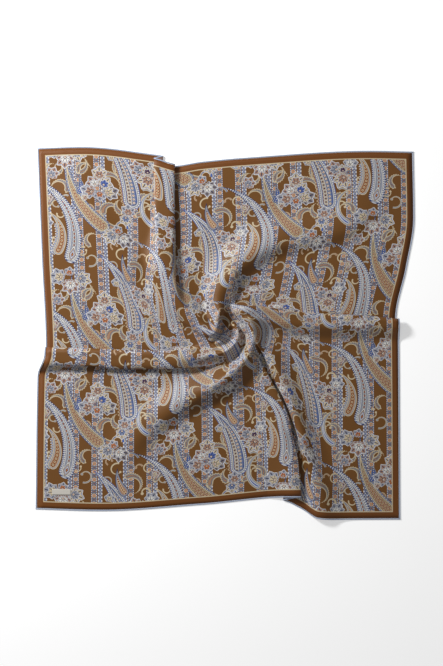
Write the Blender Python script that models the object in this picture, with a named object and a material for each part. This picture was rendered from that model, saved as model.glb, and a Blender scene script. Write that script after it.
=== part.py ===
"""Silk square scarf, laid flat with a pinwheel twist at its middle.

The flat square is described by material coordinates (u, v), measured from its centre. Four pleats run in
from the middles of the sides and meet in a small swirled knot. Across the cloth, from left to right, each
line of it is a left panel, a pleat and a right panel; from bottom to top it is a lower panel, a pleat and an
upper panel. A pleat's cross-section is a smooth curve through control points worked out from the places of
its lips and from how far the cloth laps under them. Soft folds are then raised along crest lines.

Frame: +Z up, the scarf lies on Z = 0, and the origin is under the middle of its outline.
All sizes here are in millimetres; MM turns them into metres for Blender.
"""

import bmesh
import bpy
import numpy as np

MM = 0.001

# ---------------------------------------------------------------- driving sizes
SIDE = 900.0  # finished side of the square, hem to hem
CLOTH = 1.2  # wall that stands for the twill
HEM = 3.0  # width of the rolled hem
HEM_HEIGHT = 2.0  # its thickness
SEAM = 0.3  # gap between two pieces at a seam
LABEL = {"width": 42.0, "depth": 14.0, "wall": 0.6, "u": -392.0, "v": -409.0, "columns": 7, "rows": 4}

REST = CLOTH / 2  # height of the wall's middle where it rests
EDGE = SIDE / 2 - HEM - SEAM  # half the panel, inside its hem

# ---------------------------------------------------------------- mesh density
PANEL_CELLS = 12  # across each flat panel
PANEL_GRADING = 1.35  # how much closer together they are beside the pleat
# Cells in each span between two control points of a pleat, more where it turns at its lips.
SPAN_CELLS = (1, 1, 2, 2, 2, 2, 2, 1, 2, 1, 2, 2, 2, 2, 2, 1, 1)
STATIONS = 361  # lines along a pleat in the look-up of its cross-sections
SAMPLES = 160  # points across each third of a line in that look-up
CREST_SAMPLES = 160  # points along the crest of a soft fold
HALVINGS = 40  # of the range in which a point's flat place is sought
HEM_SIDES = 8  # of the hem's cross-section
EDGE_STEP = 0.02  # share of a line that gives the direction in from its edge


def table(columns, *rows):
    """A short table with named columns, sorted by its first one."""
    return dict(zip(columns.split(), np.array(sorted(rows), float).T))


# How far each side is drawn in by the pleats, along the side (u or v of the flat square).
LEFT_DRAW = table("along draw", (450, 28), (200, 38), (0, 47), (-88, 46), (-150, 28), (-450, 24))
RIGHT_DRAW = table("along draw", (450, 25.5), (300, 23), (190, 40), (72, 64), (-5, 58), (-450, 55))
TOP_DRAW = table(
    "along draw",
    *((-450, 33), (-350, 30), (-180, 49), (-88, 73)),
    *((-30, 64), (80, 54), (350, 39), (450, 41)),
)
BOTTOM_DRAW = table(
    "along draw",
    *((-450, 54), (-300, 50), (-80, 64), (140, 82), (170, 78)),
    *((190, 73.5), (226, 56), (268, 33), (310, 30.5), (450, 31)),
)
SLACK = 0.40  # share of the draw that is missing at the middle, where the cloth is puckered instead
SLACK_REACH = 190.0  # from the middle, over which that share fades

# Pleats that stand up as a ridge. lip_a and lip_b are the places of its two edges in plan, lap_a and lap_b how
# far the neighbouring panel goes under each (negative: no lap, a slope of that length), crest its height.
TOP_PLEAT = table(
    "along lip_a lip_b lap_a lap_b crest",
    (450, -155, -116, 13, 7, 13.5),
    (385, -156, -116, 8, 10, 14),
    (310, -152, -115, -14, 14, 17),
    (235, -146, -114, -34, 14, 19),
    (170, -142, -112, -44, -6, 17),
    (110, -128, -95, -50, -26, 10),
    (60, -80, -40, -50, -50, 2),
)
RIGHT_PLEAT = table(
    "along lip_a lip_b lap_a lap_b crest",
    (450, 16, 29, -38, 26, 18),
    (367, 17, 37, -38, 22, 20),
    (322, 18, 39, -38, 10, 21),
    (235, 20, 43, -38, -8, 18),
    (170, 26, 51, -38, 2, 20),
    (120, 32, 56, -38, -4, 17),
    (75, 26, 52, -40, -20, 9),
    (40, 8, 34, -44, -38, 1),
)
LEFT_PLEAT = table(
    "along lip_a lip_b lap_a lap_b crest",
    (-450, -62, -35, -34, 25, 20),
    (-350, -68, -37, -12, 20, 19),
    (-290, -77, -40, 10, 16, 17),
    (-180, -77, -41, 12, 12, 17),
    (-130, -75, -41, 2, -2, 16),
    (-90, -70, -38, -12, -14, 9),
    (-45, -60, -24, -30, -36, 1),
)
# The bottom pleat is a groove between two lips that face each other: lip_a belongs to the left panel,
# lip_b to the right one, and lap_a and lap_b say how far each overhangs the floor of the groove.
BOTTOM_PLEAT = table(
    "along lip_a lip_b lap_a lap_b crest_a crest_b",
    (-450, 168, 216, 34, -40, 14, 13),
    (-380, 164, 206, 26, -32, 15, 16),
    (-315, 150, 171, 4, -10, 18, 20),
    (-278, 142, 159, -9, 3, 18, 22),
    (-232, 126, 141, -10, 10, 15, 23),
    (-190, 106, 120, -10, 12, 12, 22),
    (-120, 72, 90, -12, 8, 8, 18),
    (-85, 44, 76, -16, -8, 4, 10),
    (-45, 10, 70, -24, -24, 1, 1),
)
LIP_RADIUS = 4.0  # of a pleat's rolled edges
LAP_HEIGHT = 8.0  # of the hidden layer above the one that rests, or at most LAP_SHARE of the crest
LAP_SHARE = 0.5
TURN_HEIGHT = 11.0  # of the lip where it turns, or at most TURN_SHARE of the crest
TURN_SHARE = 0.8
SLOPE_STEPS = ((0.3, 0.2), (0.7, 0.65), (1.0, 0.95))  # shares of a slope's length, and of its height there
CREST_STEPS = (0.1, 0.4, 0.6, 0.9)  # shares of the way between a ridge's lips
LEAD = 12.0  # of flat cloth outside a ridge's turn, where its curve starts
MARGIN = 46.0  # of flat cloth beside a ridge that its curve takes in
RISE = 70.0  # length over which a panel climbs to the lip of the groove
FALL = 62.0  # length over which it comes down again
CLIMB_STEPS = ((1.0, 0.0), (0.55, 0.35), (0.2, 1.0))  # shares of that length, and of the lip's height there

# ---------------------------------------------------------------- the knot and the soft folds
KNOT = (18.0, 12.0)  # the middle of the swirl, in plan
KNOT_TURN = 0.35  # radians that it is turned
KNOT_REACH = 55.0
EYE = (12.0, 27.0)  # the hollow of the swirl
EYE_RADIUS = 13.0
EYE_DEPTH = 0.8  # share of the height that is missing in the eye

SETTLING = 3  # passes that round the creases of the knot
SETTLE_SHARE = 0.4  # of the way towards its neighbours that each pass moves a point
SETTLE_REACH = 90.0  # from the knot, over which that share fades

# Soft folds run towards the knot: a crest point (x, y), its height there, and how far the fold falls away on
# the left and on the right of its own direction. In the knot they turn anticlockwise about the eye.
SOFT_FOLDS = {
    "upper_right": table(
        "along x y height left right",
        (0, 345, 290, 1, 30, 62),
        (1, 276, 232, 10, 30, 62),
        (2, 190, 214, 13, 30, 60),
        (3, 105, 203, 18, 32, 60),
        (4, 48, 170, 21, 34, 56),
        (5, 8, 128, 22, 28, 50),
        (6, -8, 85, 23, 20, 44),
        (7, -14, 48, 23, 16, 34),
        (8, -20, 14, 20, 15, 24),
        (9, -24, -14, 12, 14, 14),
    ),
    "lower_left": table(
        "along x y height left right",
        (0, -245, -290, 1, 52, 34),
        (1, -190, -226, 10, 52, 34),
        (2, -135, -178, 17, 50, 34),
        (3, -70, -140, 22, 44, 34),
        (4, -12, -110, 24, 30, 34),
        (5, 26, -82, 24, 20, 34),
        (6, 54, -48, 24, 16, 30),
        (7, 66, -12, 24, 16, 26),
        (8, 60, 20, 23, 15, 28),
        (9, 46, 42, 21, 14, 24),
        (10, 30, 54, 14, 15, 17),
    ),
    "upper_left_inner": table(
        "along x y height left right",
        (0, -190, 205, 1, 40, 30),
        (1, -150, 148, 9, 44, 30),
        (2, -112, 92, 13, 44, 26),
        (3, -72, 42, 17, 36, 22),
        (4, -40, 6, 19, 24, 18),
        (5, -14, -20, 12, 16, 14),
    ),
    "upper_left_outer": table(
        "along x y height left right",
        (0, -345, 370, 1, 34, 60),
        (1, -312, 300, 6, 34, 60),
        (2, -272, 238, 9, 34, 60),
        (3, -214, 172, 8, 34, 56),
        (4, -180, 120, 1, 30, 40),
    ),
    "left_tail": table(
        "along x y height left right",
        (0, -120, -58, 4, 20, 20),
        (1, -70, -54, 12, 18, 18),
        (2, -30, -48, 16, 15, 16),
        (3, 4, -38, 17, 13, 14),
        (4, 26, -18, 15, 12, 12),
        (5, 30, 4, 11, 11, 11),
        (6, 18, 16, 6, 10, 10),
    ),
}
COLOURS = {
    "twill_panel": (0.32, 0.17, 0.065),
    "hem": (0.56, 0.64, 0.76),
    "corner_label": (0.86, 0.83, 0.78),
}


# ---------------------------------------------------------------- curves
def read(rows, column, at):
    """A table's column at any place, by a cubic that does not swing past its rows."""
    x, y = rows["along"], rows[column]
    step = np.diff(x)
    slope = np.diff(y) / step
    inner = np.where(slope[:-1] * slope[1:] > 0, 2 * slope[:-1] * slope[1:] / (slope[:-1] + slope[1:] + 1e-12), 0)
    tangent = np.concatenate([slope[:1], inner, slope[-1:]])
    at = np.clip(at, x[0], x[-1])
    k = np.clip(np.searchsorted(x, at) - 1, 0, len(x) - 2)
    t = (at - x[k]) / step[k]
    hermite = (
        (2 * t**3 - 3 * t**2 + 1) * y[k]
        + (t**3 - 2 * t**2 + t) * step[k] * tangent[k]
        + (3 * t**2 - 2 * t**3) * y[k + 1]
        + (t**3 - t**2) * step[k] * tangent[k + 1]
    )
    return hermite


def unit(vectors):
    """Vectors of length 1 in the same directions."""
    return vectors / np.linalg.norm(vectors, axis=-1, keepdims=True)


def smoothstep(x):
    """0 below 0, 1 above 1, and a smooth rise between."""
    x = np.clip(x, 0.0, 1.0)
    return x * x * (3 - 2 * x)


def spline(points, samples):
    """A uniform cubic B-spline from the first to the last of points[..., k, :]."""
    first = 2 * points[..., :1, :] - points[..., 1:2, :]
    last = 2 * points[..., -1:, :] - points[..., -2:-1, :]
    p = np.concatenate([first, points, last], axis=-2)
    t = np.linspace(0, points.shape[-2] - 1, samples)
    k = np.minimum(t.astype(int), points.shape[-2] - 2)
    f = (t - k)[:, None]
    weights = ((1 - f) ** 3, 3 * f**3 - 6 * f**2 + 4, -3 * f**3 + 3 * f**2 + 3 * f + 1, f**3)
    return sum(w * p[..., k + i, :] for i, w in enumerate(weights)) / 6


def flank(lip, lap, crest, out, lead):
    """Five (place, height) control points from the low cloth beside a lip up to the lip.

    out is the direction from the lip to that cloth. A positive lap folds the cloth back under the lip; a
    negative one makes a slope of that length. lead is how far outside the turn the curve becomes flat.
    """
    low = np.full_like(crest, REST)
    folded = smoothstep((lap + LIP_RADIUS) / (2 * LIP_RADIUS))
    hidden = np.minimum(LAP_HEIGHT, LAP_SHARE * crest)
    turn = np.minimum(TURN_HEIGHT, TURN_SHARE * crest)
    under = lip - out * (lap + LIP_RADIUS)
    tip = lip + out * LIP_RADIUS
    fold = ((under, hidden), (tip, hidden), (tip, turn))
    slope = ((under + share * (tip - under), rise * crest) for share, rise in SLOPE_STEPS)
    climb = [
        (folded * a[0] + (1 - folded) * b[0], REST + folded * a[1] + (1 - folded) * b[1])
        for a, b in zip(fold, slope)
    ]
    return [(under + out * lead, low), (under, low), *climb]


def stations(places):
    """(place, height) pairs of arrays as one array: station, control point, place and height."""
    return np.stack([np.stack(place, -1) for place in places], -2)


def ridge_points(start, end, rows, along):
    """Control points across a pleat that stands up."""
    columns = ("lip_a", "lip_b", "lap_a", "lap_b", "crest")
    lip_a, lip_b, lap_a, lap_b, crest = (read(rows, name, along) for name in columns)
    low = np.full_like(along, REST)
    left = flank(lip_a, lap_a, crest, -1, LEAD)
    right = flank(lip_b, lap_b, crest, 1, LEAD)
    top = [(lip_a + share * (lip_b - lip_a), REST + crest) for share in CREST_STEPS]
    before = [(start, low), ((start + left[0][0]) / 2, low)]
    after = [((end + right[0][0]) / 2, low), (end, low)]
    return stations(before + left + top + right[::-1] + after)


def groove_points(start, end, rows, along):
    """Control points across the groove pleat, as many as ridge_points gives."""
    columns = ("lip_a", "lip_b", "lap_a", "lap_b", "crest_a", "crest_b")
    lip_a, lip_b, lap_a, lap_b, crest_a, crest_b = (read(rows, name, along) for name in columns)
    low = np.full_like(along, REST)
    floor = (lip_b + lap_b + LIP_RADIUS) - (lip_a - lap_a - LIP_RADIUS)
    left = flank(lip_a, lap_a, crest_a, 1, floor / 4)
    right = flank(lip_b, lap_b, crest_b, -1, floor / 4)
    climb = [(lip_a - share * RISE, REST + rise * crest_a) for share, rise in CLIMB_STEPS]
    descent = [(lip_b + share * FALL, REST + rise * crest_b) for share, rise in CLIMB_STEPS[::-1]]
    return stations([(start, low)] + climb + left[::-1] + right + descent + [(end, low)])


# ---------------------------------------------------------------- lines across the cloth
def drawn(material, along, draw, sign):
    """Plan place of a panel's point: its flat place, moved towards the pleat."""
    short = 1 - SLACK * np.exp(-(material**2 + along**2) / SLACK_REACH**2)
    return material + sign * draw * short


def cross_lines(draw_a, draw_b, far_pleat, near_pleat, near_points, near_reach):
    """Look-up of the lines across the cloth: flat place, plan place and height, by station and share of a line.

    near_pleat lies at negative stations and far_pleat at positive ones, and through the knot one turns into
    the other. near_points gives the control points of near_pleat, which takes in near_reach on each side.
    """
    along = np.linspace(-SIDE / 2, SIDE / 2, STATIONS)
    pull_a, pull_b = read(draw_a, "draw", along), read(draw_b, "draw", along)
    inner_far, inner_near = far_pleat["along"][0], near_pleat["along"][-1]
    share = smoothstep((along - inner_near) / (inner_far - inner_near))
    far_at, near_at = np.maximum(along, inner_far), np.minimum(along, inner_near)

    def mixed(column):
        return share * read(far_pleat, column, far_at) + (1 - share) * read(near_pleat, column, near_at)

    reach = share * MARGIN + (1 - share) * near_reach
    plan_a = mixed("lip_a") - reach + np.minimum(mixed("lap_a"), 0)
    plan_b = mixed("lip_b") + reach - np.minimum(mixed("lap_b"), 0)
    band_a = 2 * plan_a - drawn(plan_a, along, pull_a, 1)
    band_b = 2 * plan_b - drawn(plan_b, along, pull_b, -1)
    start, end = drawn(band_a, along, pull_a, 1), drawn(band_b, along, pull_b, -1)
    far = ridge_points(start, end, far_pleat, far_at)
    near = near_points(start, end, near_pleat, near_at)
    curve = spline(near + share[:, None, None] * (far - near), SAMPLES)
    run = np.cumsum(np.linalg.norm(np.diff(curve, axis=1), axis=-1), axis=1)
    run = np.concatenate([np.zeros((STATIONS, 1)), run / run[:, -1:]], axis=1)
    panel = np.linspace(0, 1, SAMPLES)
    along, pull_a, pull_b, band_a, band_b = (row[:, None] for row in (along, pull_a, pull_b, band_a, band_b))
    flat_a = -EDGE + panel * (band_a + EDGE)
    flat_b = band_b + panel * (EDGE - band_b)
    flat = [flat_a, band_a + run * (band_b - band_a), flat_b]
    plan = [drawn(flat_a, along, pull_a, 1), curve[..., 0], drawn(flat_b, along, pull_b, -1)]
    level = np.zeros((STATIONS, SAMPLES))
    height = [level, curve[..., 1] - REST, level]
    columns = {"flat": flat, "plan": plan, "height": height}
    return {name: np.concatenate(thirds, axis=1) for name, thirds in columns.items()}


def sample(lines, column, along, share):
    """The look-up's value at any station and any share (0 to 3: panel, pleat, panel) of the line."""
    values = lines[column]
    row = np.clip((along + SIDE / 2) / SIDE, 0, 1) * (STATIONS - 1)
    third = np.clip(share.astype(int), 0, 2)
    place = third * SAMPLES + np.clip(share - third, 0, 1) * (SAMPLES - 1)
    i = np.minimum(row.astype(int), STATIONS - 2)
    j = np.minimum(place.astype(int), third * SAMPLES + SAMPLES - 2)
    f, g = row - i, place - j
    below = values[i, j] * (1 - g) + values[i, j + 1] * g
    above = values[i + 1, j] * (1 - g) + values[i + 1, j + 1] * g
    return below * (1 - f) + above * f


# ---------------------------------------------------------------- soft folds and the knot
def soft_fold(x, y, fold):
    """Height of one soft fold over the plan."""
    steps = np.linspace(0, fold["along"][-1], CREST_SAMPLES)
    crest = spline(np.stack([fold["x"], fold["y"]], -1), CREST_SAMPLES)
    height, left, right = (read(fold, column, steps) for column in ("height", "left", "right"))
    direction = np.gradient(crest, axis=0)
    away_x, away_y = x[..., None] - crest[:, 0], y[..., None] - crest[:, 1]
    near = np.argmin(away_x**2 + away_y**2, axis=-1)
    dx = np.take_along_axis(away_x, near[..., None], -1)[..., 0]
    dy = np.take_along_axis(away_y, near[..., None], -1)[..., 0]
    side = direction[near, 0] * dy - direction[near, 1] * dx
    width = np.where(side > 0, left[near], right[near])
    fall = np.clip(1 - (dx**2 + dy**2) / width**2 * 0.5, 0, 1)
    return height[near] * fall**3


def soft_height(x, y):
    """Height of all the soft folds, with the eye of the knot sunk between them."""
    total = sum(soft_fold(x, y, fold) ** 4 for fold in SOFT_FOLDS.values()) ** 0.25
    from_eye = (x - EYE[0]) ** 2 + (y - EYE[1]) ** 2
    return total * (1 - EYE_DEPTH * np.exp(-from_eye / EYE_RADIUS**2))


def twist(x, y):
    """Turns the plan about the knot, most at its middle."""
    dx, dy = x - KNOT[0], y - KNOT[1]
    angle = KNOT_TURN * np.exp(-(dx**2 + dy**2) / KNOT_REACH**2)
    c, s = np.cos(angle), np.sin(angle)
    return KNOT[0] + c * dx - s * dy, KNOT[1] + s * dx + c * dy


ACROSS = cross_lines(LEFT_DRAW, RIGHT_DRAW, TOP_PLEAT, BOTTOM_PLEAT, groove_points, RISE)
UPWARD = cross_lines(BOTTOM_DRAW, TOP_DRAW, RIGHT_PLEAT, LEFT_PLEAT, ridge_points, MARGIN)


def cloth(p, q):
    """Middle surface of the cloth at shares p (across) and q (upward) of its lines: points in millimetres.

    A line's pleat depends on where the line is crossed, so u and v are found together. Going up a line of
    constant p, u falls, and going right along a line of constant q, v rises, so there is one such pair.
    """
    low, high = np.full_like(q, -SIDE / 2), np.full_like(q, SIDE / 2)
    for _ in range(HALVINGS):
        v = (low + high) / 2
        above = sample(UPWARD, "flat", sample(ACROSS, "flat", v, p), q) > v
        low, high = np.where(above, v, low), np.where(above, high, v)
    u = sample(ACROSS, "flat", v, p)
    x, y = twist(sample(ACROSS, "plan", v, p), sample(UPWARD, "plan", u, q))
    z = REST + sample(ACROSS, "height", v, p) + sample(UPWARD, "height", u, q) + soft_height(x, y)
    return np.stack([x, y, z], -1)


def line_shares():
    """Shares of a line at the mesh's own columns, closer together across the pleat and beside it."""
    panel = 1 - (1 - np.linspace(0, 1, PANEL_CELLS + 1)) ** PANEL_GRADING
    spans = [(k + np.arange(cells) / cells) / len(SPAN_CELLS) for k, cells in enumerate(SPAN_CELLS)]
    return np.concatenate([panel[:-1], 1 + np.concatenate(spans), 3 - panel[::-1]])


# ---------------------------------------------------------------- Blender objects
def clear_scene():
    for obj in list(bpy.data.objects):
        bpy.data.objects.remove(obj, do_unlink=True)


def cloth_material(name, colour, roughness):
    material = bpy.data.materials.new(name)
    material.use_nodes = True
    shader = material.node_tree.nodes["Principled BSDF"]
    shader.inputs["Base Color"].default_value = (*colour, 1)
    shader.inputs["Roughness"].default_value = roughness
    shader.inputs["Metallic"].default_value = 0.0
    return material


def add_object(name, builder, material):
    """Links a new object whose mesh comes from a bmesh, with outward faces and smooth shading."""
    bmesh.ops.recalc_face_normals(builder, faces=builder.faces)
    mesh = bpy.data.meshes.new(name)
    builder.to_mesh(mesh)
    builder.free()
    mesh.shade_smooth()
    mesh.materials.append(material)
    obj = bpy.data.objects.new(name, mesh)
    bpy.context.scene.collection.objects.link(obj)
    return obj


def grid_faces(builder, points):
    """Quads over a grid of points in millimetres."""
    verts = [[builder.verts.new(point * MM) for point in row] for row in points]
    for near, far in zip(verts, verts[1:]):
        for a, b, c, d in zip(near, near[1:], far[1:], far):
            builder.faces.new((a, b, c, d))


def settled(points):
    """The grid with its points in and near the knot moved towards their neighbours, to round its creases."""
    for _ in range(SETTLING):
        inner = points[1:-1, 1:-1]
        neighbours = (points[:-2, 1:-1] + points[2:, 1:-1] + points[1:-1, :-2] + points[1:-1, 2:]) / 4
        from_knot = (inner[..., 0] - KNOT[0]) ** 2 + (inner[..., 1] - KNOT[1]) ** 2
        share = SETTLE_SHARE * np.exp(-from_knot / SETTLE_REACH**2)[..., None]
        points[1:-1, 1:-1] = inner + share * (neighbours - inner)
    return points


def give_wall(obj, thickness):
    """Thickens an object's sheet evenly on both sides."""
    wall = obj.modifiers.new("wall", "SOLIDIFY")
    wall.thickness = thickness * MM
    wall.offset = 0.0


def make_panel(material):
    """The twill square: its middle surface, given its wall by Solidify."""
    shares = line_shares()
    q, p = np.meshgrid(shares, shares, indexing="ij")
    builder = bmesh.new()
    grid_faces(builder, settled(cloth(p, q)))
    give_wall(add_object("twill_panel", builder, material), CLOTH)


def make_hem(name, edge, inner, overrun, material):
    """A rolled hem along an edge of the panel, from the edge's points and the points just inside them."""
    outward = unit(edge - inner)
    up = unit(np.cross(np.gradient(edge, axis=0), outward))
    up *= np.sign(up[0, 2])
    centre = edge + outward * (SEAM + HEM / 2) + up * (HEM_HEIGHT / 2 - REST)
    centre[0] += overrun * unit(centre[0] - centre[1])
    centre[-1] += overrun * unit(centre[-1] - centre[-2])
    turns = (np.arange(HEM_SIDES) + 0.5) * 2 * np.pi / HEM_SIDES
    to_corner = 1 / np.cos(np.pi / HEM_SIDES)
    across = HEM / 2 * to_corner * np.cos(turns)
    high = HEM_HEIGHT / 2 * to_corner * np.sin(turns)
    rings = centre[:, None] + outward[:, None] * across[:, None] + up[:, None] * high[:, None]
    builder = bmesh.new()
    verts = [[builder.verts.new(point * MM) for point in ring] for ring in rings]
    for near, far in zip(verts, verts[1:]):
        for k in range(HEM_SIDES):
            following = (k + 1) % HEM_SIDES
            builder.faces.new((near[k], near[following], far[following], far[k]))
    builder.faces.new(verts[0])
    builder.faces.new(verts[-1])
    add_object(name, builder, material)


def make_hems(material):
    """The four sides of the hem. Top and bottom run over the corners, left and right stop short of them."""
    shares = line_shares()
    for name, side in (("hem_left", 0.0), ("hem_right", 3.0), ("hem_bottom", 0.0), ("hem_top", 3.0)):
        edge = np.full_like(shares, side)
        inner = np.full_like(shares, abs(side - EDGE_STEP))
        upright = name in ("hem_left", "hem_right")
        lines = [cloth(place, shares) if upright else cloth(shares, place) for place in (edge, inner)]
        make_hem(name, *lines, 0.0 if upright else SEAM + HEM, material)


def share_of_flat(u, v):
    """Shares (p, q) of the lines through a point of the lower left panel, from its flat place."""
    inner_u = sample(ACROSS, "flat", np.array([v]), np.array([1.0]))[0]
    inner_v = sample(UPWARD, "flat", np.array([u]), np.array([1.0]))[0]
    return (u + EDGE) / (inner_u + EDGE), (v + EDGE) / (inner_v + EDGE)


def make_label(material):
    """The bare woven label: a small slab made from the panel's points, moved out."""
    centre = share_of_flat(LABEL["u"], LABEL["v"])
    corner = share_of_flat(LABEL["u"] + LABEL["width"] / 2, LABEL["v"] + LABEL["depth"] / 2)
    columns = centre[0] + (corner[0] - centre[0]) * np.linspace(-1, 1, LABEL["columns"])
    rows = centre[1] + (corner[1] - centre[1]) * np.linspace(-1, 1, LABEL["rows"])
    q, p = np.meshgrid(rows, columns, indexing="ij")
    points = cloth(p, q)
    normals = unit(np.cross(np.gradient(points, axis=1), np.gradient(points, axis=0)))
    builder = bmesh.new()
    grid_faces(builder, points + normals * (CLOTH / 2 + SEAM + LABEL["wall"] / 2))
    give_wall(add_object("corner_label", builder, material), LABEL["wall"])


def main():
    clear_scene()
    make_panel(cloth_material("printed_twill", COLOURS["twill_panel"], 0.45))
    make_hems(cloth_material("rolled_hem", COLOURS["hem"], 0.5))
    make_label(cloth_material("woven_label", COLOURS["corner_label"], 0.7))


main()
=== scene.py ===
"""Looks of the silk square scarf: printed twill, rolled hems, bare woven label and a plain studio.

The scarf lies flat with a pinwheel twist at its middle. Its form is worked out in millimetres, in the same
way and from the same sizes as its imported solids, with a finer mesh; MM turns millimetres into metres. The
print is drawn on the flat square, in millimetres from its middle, by shader node groups.
"""

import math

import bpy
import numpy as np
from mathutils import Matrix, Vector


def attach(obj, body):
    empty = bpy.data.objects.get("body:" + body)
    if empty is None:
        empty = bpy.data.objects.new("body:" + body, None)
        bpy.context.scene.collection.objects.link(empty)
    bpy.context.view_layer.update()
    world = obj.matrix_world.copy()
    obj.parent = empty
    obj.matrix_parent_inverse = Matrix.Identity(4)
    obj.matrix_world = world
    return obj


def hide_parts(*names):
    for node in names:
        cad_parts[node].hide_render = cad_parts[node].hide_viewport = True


bl_info = {
    "name": "Silk Square Scarf",
    "version": (1, 0, 0),
    "blender": (4, 5, 0),
    "location": "View3D > Sidebar > Scarf",
    "description": "Builds a printed silk square, twisted flat, with its hems, label and studio",
    "category": "Add Mesh",
}

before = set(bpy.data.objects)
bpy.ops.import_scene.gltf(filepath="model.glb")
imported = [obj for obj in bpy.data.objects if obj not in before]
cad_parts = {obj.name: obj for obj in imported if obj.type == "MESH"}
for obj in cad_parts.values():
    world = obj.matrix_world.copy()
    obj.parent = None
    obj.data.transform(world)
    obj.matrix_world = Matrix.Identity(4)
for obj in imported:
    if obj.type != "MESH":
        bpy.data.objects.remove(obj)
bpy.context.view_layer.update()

MM = 0.001

# ---------------------------------------------------------------- driving sizes of the form
SIDE = 900.0  # finished side of the square, hem to hem
HEM = 3.0  # width of the rolled hem
HEM_HEIGHT = 2.0  # its thickness
SEAM = 0.3  # gap between two pieces at a seam
WALL = 0.5  # thickness of the cloth's shell
LABEL = {"width": 42.0, "depth": 14.0, "u": -392.0, "v": -409.0}

REST = 0.6  # height of the cloth's middle where it rests
EDGE = SIDE / 2 - HEM - SEAM  # half the panel, inside its hem

PANEL_CELLS = 50  # across each flat panel
PANEL_GRADING = 1.35  # how much closer together they are beside the pleat
SPAN_CELLS = (5, 5, 8, 8, 8, 8, 8, 5, 8, 5, 8, 8, 8, 8, 8, 5, 5)  # between control points of a pleat
STATIONS = 361  # lines along a pleat in the look-up of its cross-sections
SAMPLES = 160  # points across each third of a line in that look-up
CREST_SAMPLES = 160  # points along the crest of a soft fold
HALVINGS = 40  # of the range in which a point's flat place is sought
EDGE_STEP = 0.02  # share of a line that gives the direction in from its edge


def table(columns, *rows):
    """A short table with named columns, sorted by its first one."""
    return dict(zip(columns.split(), np.array(sorted(rows), float).T))


def fold(*rows):
    """A fold's table, from its crest points in their order."""
    return table("along x y height left right", *((step, *row) for step, row in enumerate(rows)))


# How far each side is drawn in by the pleats, along the side (u or v of the flat square).
LEFT_DRAW = table("along draw", (450, 28), (200, 38), (0, 47), (-88, 46), (-150, 28), (-450, 24))
RIGHT_DRAW = table("along draw", (450, 25.5), (300, 23), (190, 40), (72, 64), (-5, 58), (-450, 55))
TOP_DRAW = table(
    "along draw",
    (-450, 33), (-350, 30), (-180, 49), (-88, 73), (-30, 64), (80, 54), (350, 39), (450, 41),
)
BOTTOM_DRAW = table(
    "along draw",
    (-450, 54), (-300, 50), (-80, 64), (140, 82), (170, 78),
    (190, 73.5), (226, 56), (268, 33), (310, 30.5), (450, 31),
)
SLACK = 0.40  # share of the draw that is missing at the middle, where the cloth is puckered instead
SLACK_REACH = 190.0  # from the middle, over which that share fades

# Pleats that stand up as a ridge. lip_a and lip_b are the places of its two edges in plan. lap_a and lap_b
# say how far the neighbouring panel goes under each; a negative one is no lap, but a slope of that length.
TOP_PLEAT = table(
    "along lip_a lip_b lap_a lap_b crest",
    (450, -155, -116, 13, 7, 13.5),
    (385, -156, -116, 8, 10, 14),
    (310, -152, -115, -14, 14, 17),
    (235, -146, -114, -34, 14, 19),
    (170, -142, -112, -44, -6, 17),
    (110, -128, -95, -50, -26, 10),
    (60, -80, -40, -50, -50, 2),
)
RIGHT_PLEAT = table(
    "along lip_a lip_b lap_a lap_b crest",
    (450, 16, 29, -38, 26, 18),
    (367, 17, 37, -38, 22, 20),
    (322, 18, 39, -38, 10, 21),
    (235, 20, 43, -38, -8, 18),
    (170, 26, 51, -38, 2, 20),
    (120, 32, 56, -38, -4, 17),
    (75, 26, 52, -40, -20, 9),
    (40, 8, 34, -44, -38, 1),
)
LEFT_PLEAT = table(
    "along lip_a lip_b lap_a lap_b crest",
    (-450, -62, -35, -34, 25, 20),
    (-350, -68, -37, -12, 20, 19),
    (-290, -77, -40, 10, 16, 17),
    (-180, -77, -41, 12, 12, 17),
    (-130, -75, -41, 2, -2, 16),
    (-90, -70, -38, -12, -14, 9),
    (-45, -60, -24, -30, -36, 1),
)
# The bottom pleat is a groove between two lips that face each other: lip_a belongs to the left panel,
# lip_b to the right one, and lap_a and lap_b say how far each overhangs the floor of the groove.
BOTTOM_PLEAT = table(
    "along lip_a lip_b lap_a lap_b crest_a crest_b",
    (-450, 168, 216, 34, -40, 14, 13),
    (-380, 164, 206, 26, -32, 15, 16),
    (-315, 150, 171, 4, -10, 18, 20),
    (-278, 142, 159, -9, 3, 18, 22),
    (-232, 126, 141, -10, 10, 15, 23),
    (-190, 106, 120, -10, 12, 12, 22),
    (-120, 72, 90, -12, 8, 8, 18),
    (-85, 44, 76, -16, -8, 4, 10),
    (-45, 10, 70, -24, -24, 1, 1),
)
LIP_RADIUS = 4.0  # of a pleat's rolled edges
LAP_HEIGHT = 8.0  # of the hidden layer above the one that rests, or at most LAP_SHARE of the crest
LAP_SHARE = 0.5
TURN_HEIGHT = 11.0  # of the lip where it turns, or at most TURN_SHARE of the crest
TURN_SHARE = 0.8
SLOPE_STEPS = ((0.3, 0.2), (0.7, 0.65), (1.0, 0.95))  # shares of a slope's length, and of its height there
CREST_STEPS = (0.1, 0.4, 0.6, 0.9)  # shares of the way between a ridge's lips
LEAD = 12.0  # of flat cloth outside a ridge's turn, where its curve starts
MARGIN = 46.0  # of flat cloth beside a ridge that its curve takes in
RISE = 70.0  # length over which a panel climbs to the lip of the groove
FALL = 62.0  # length over which it comes down again
CLIMB_STEPS = ((1.0, 0.0), (0.55, 0.35), (0.2, 1.0))  # shares of that length, and of the lip's height there

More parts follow.
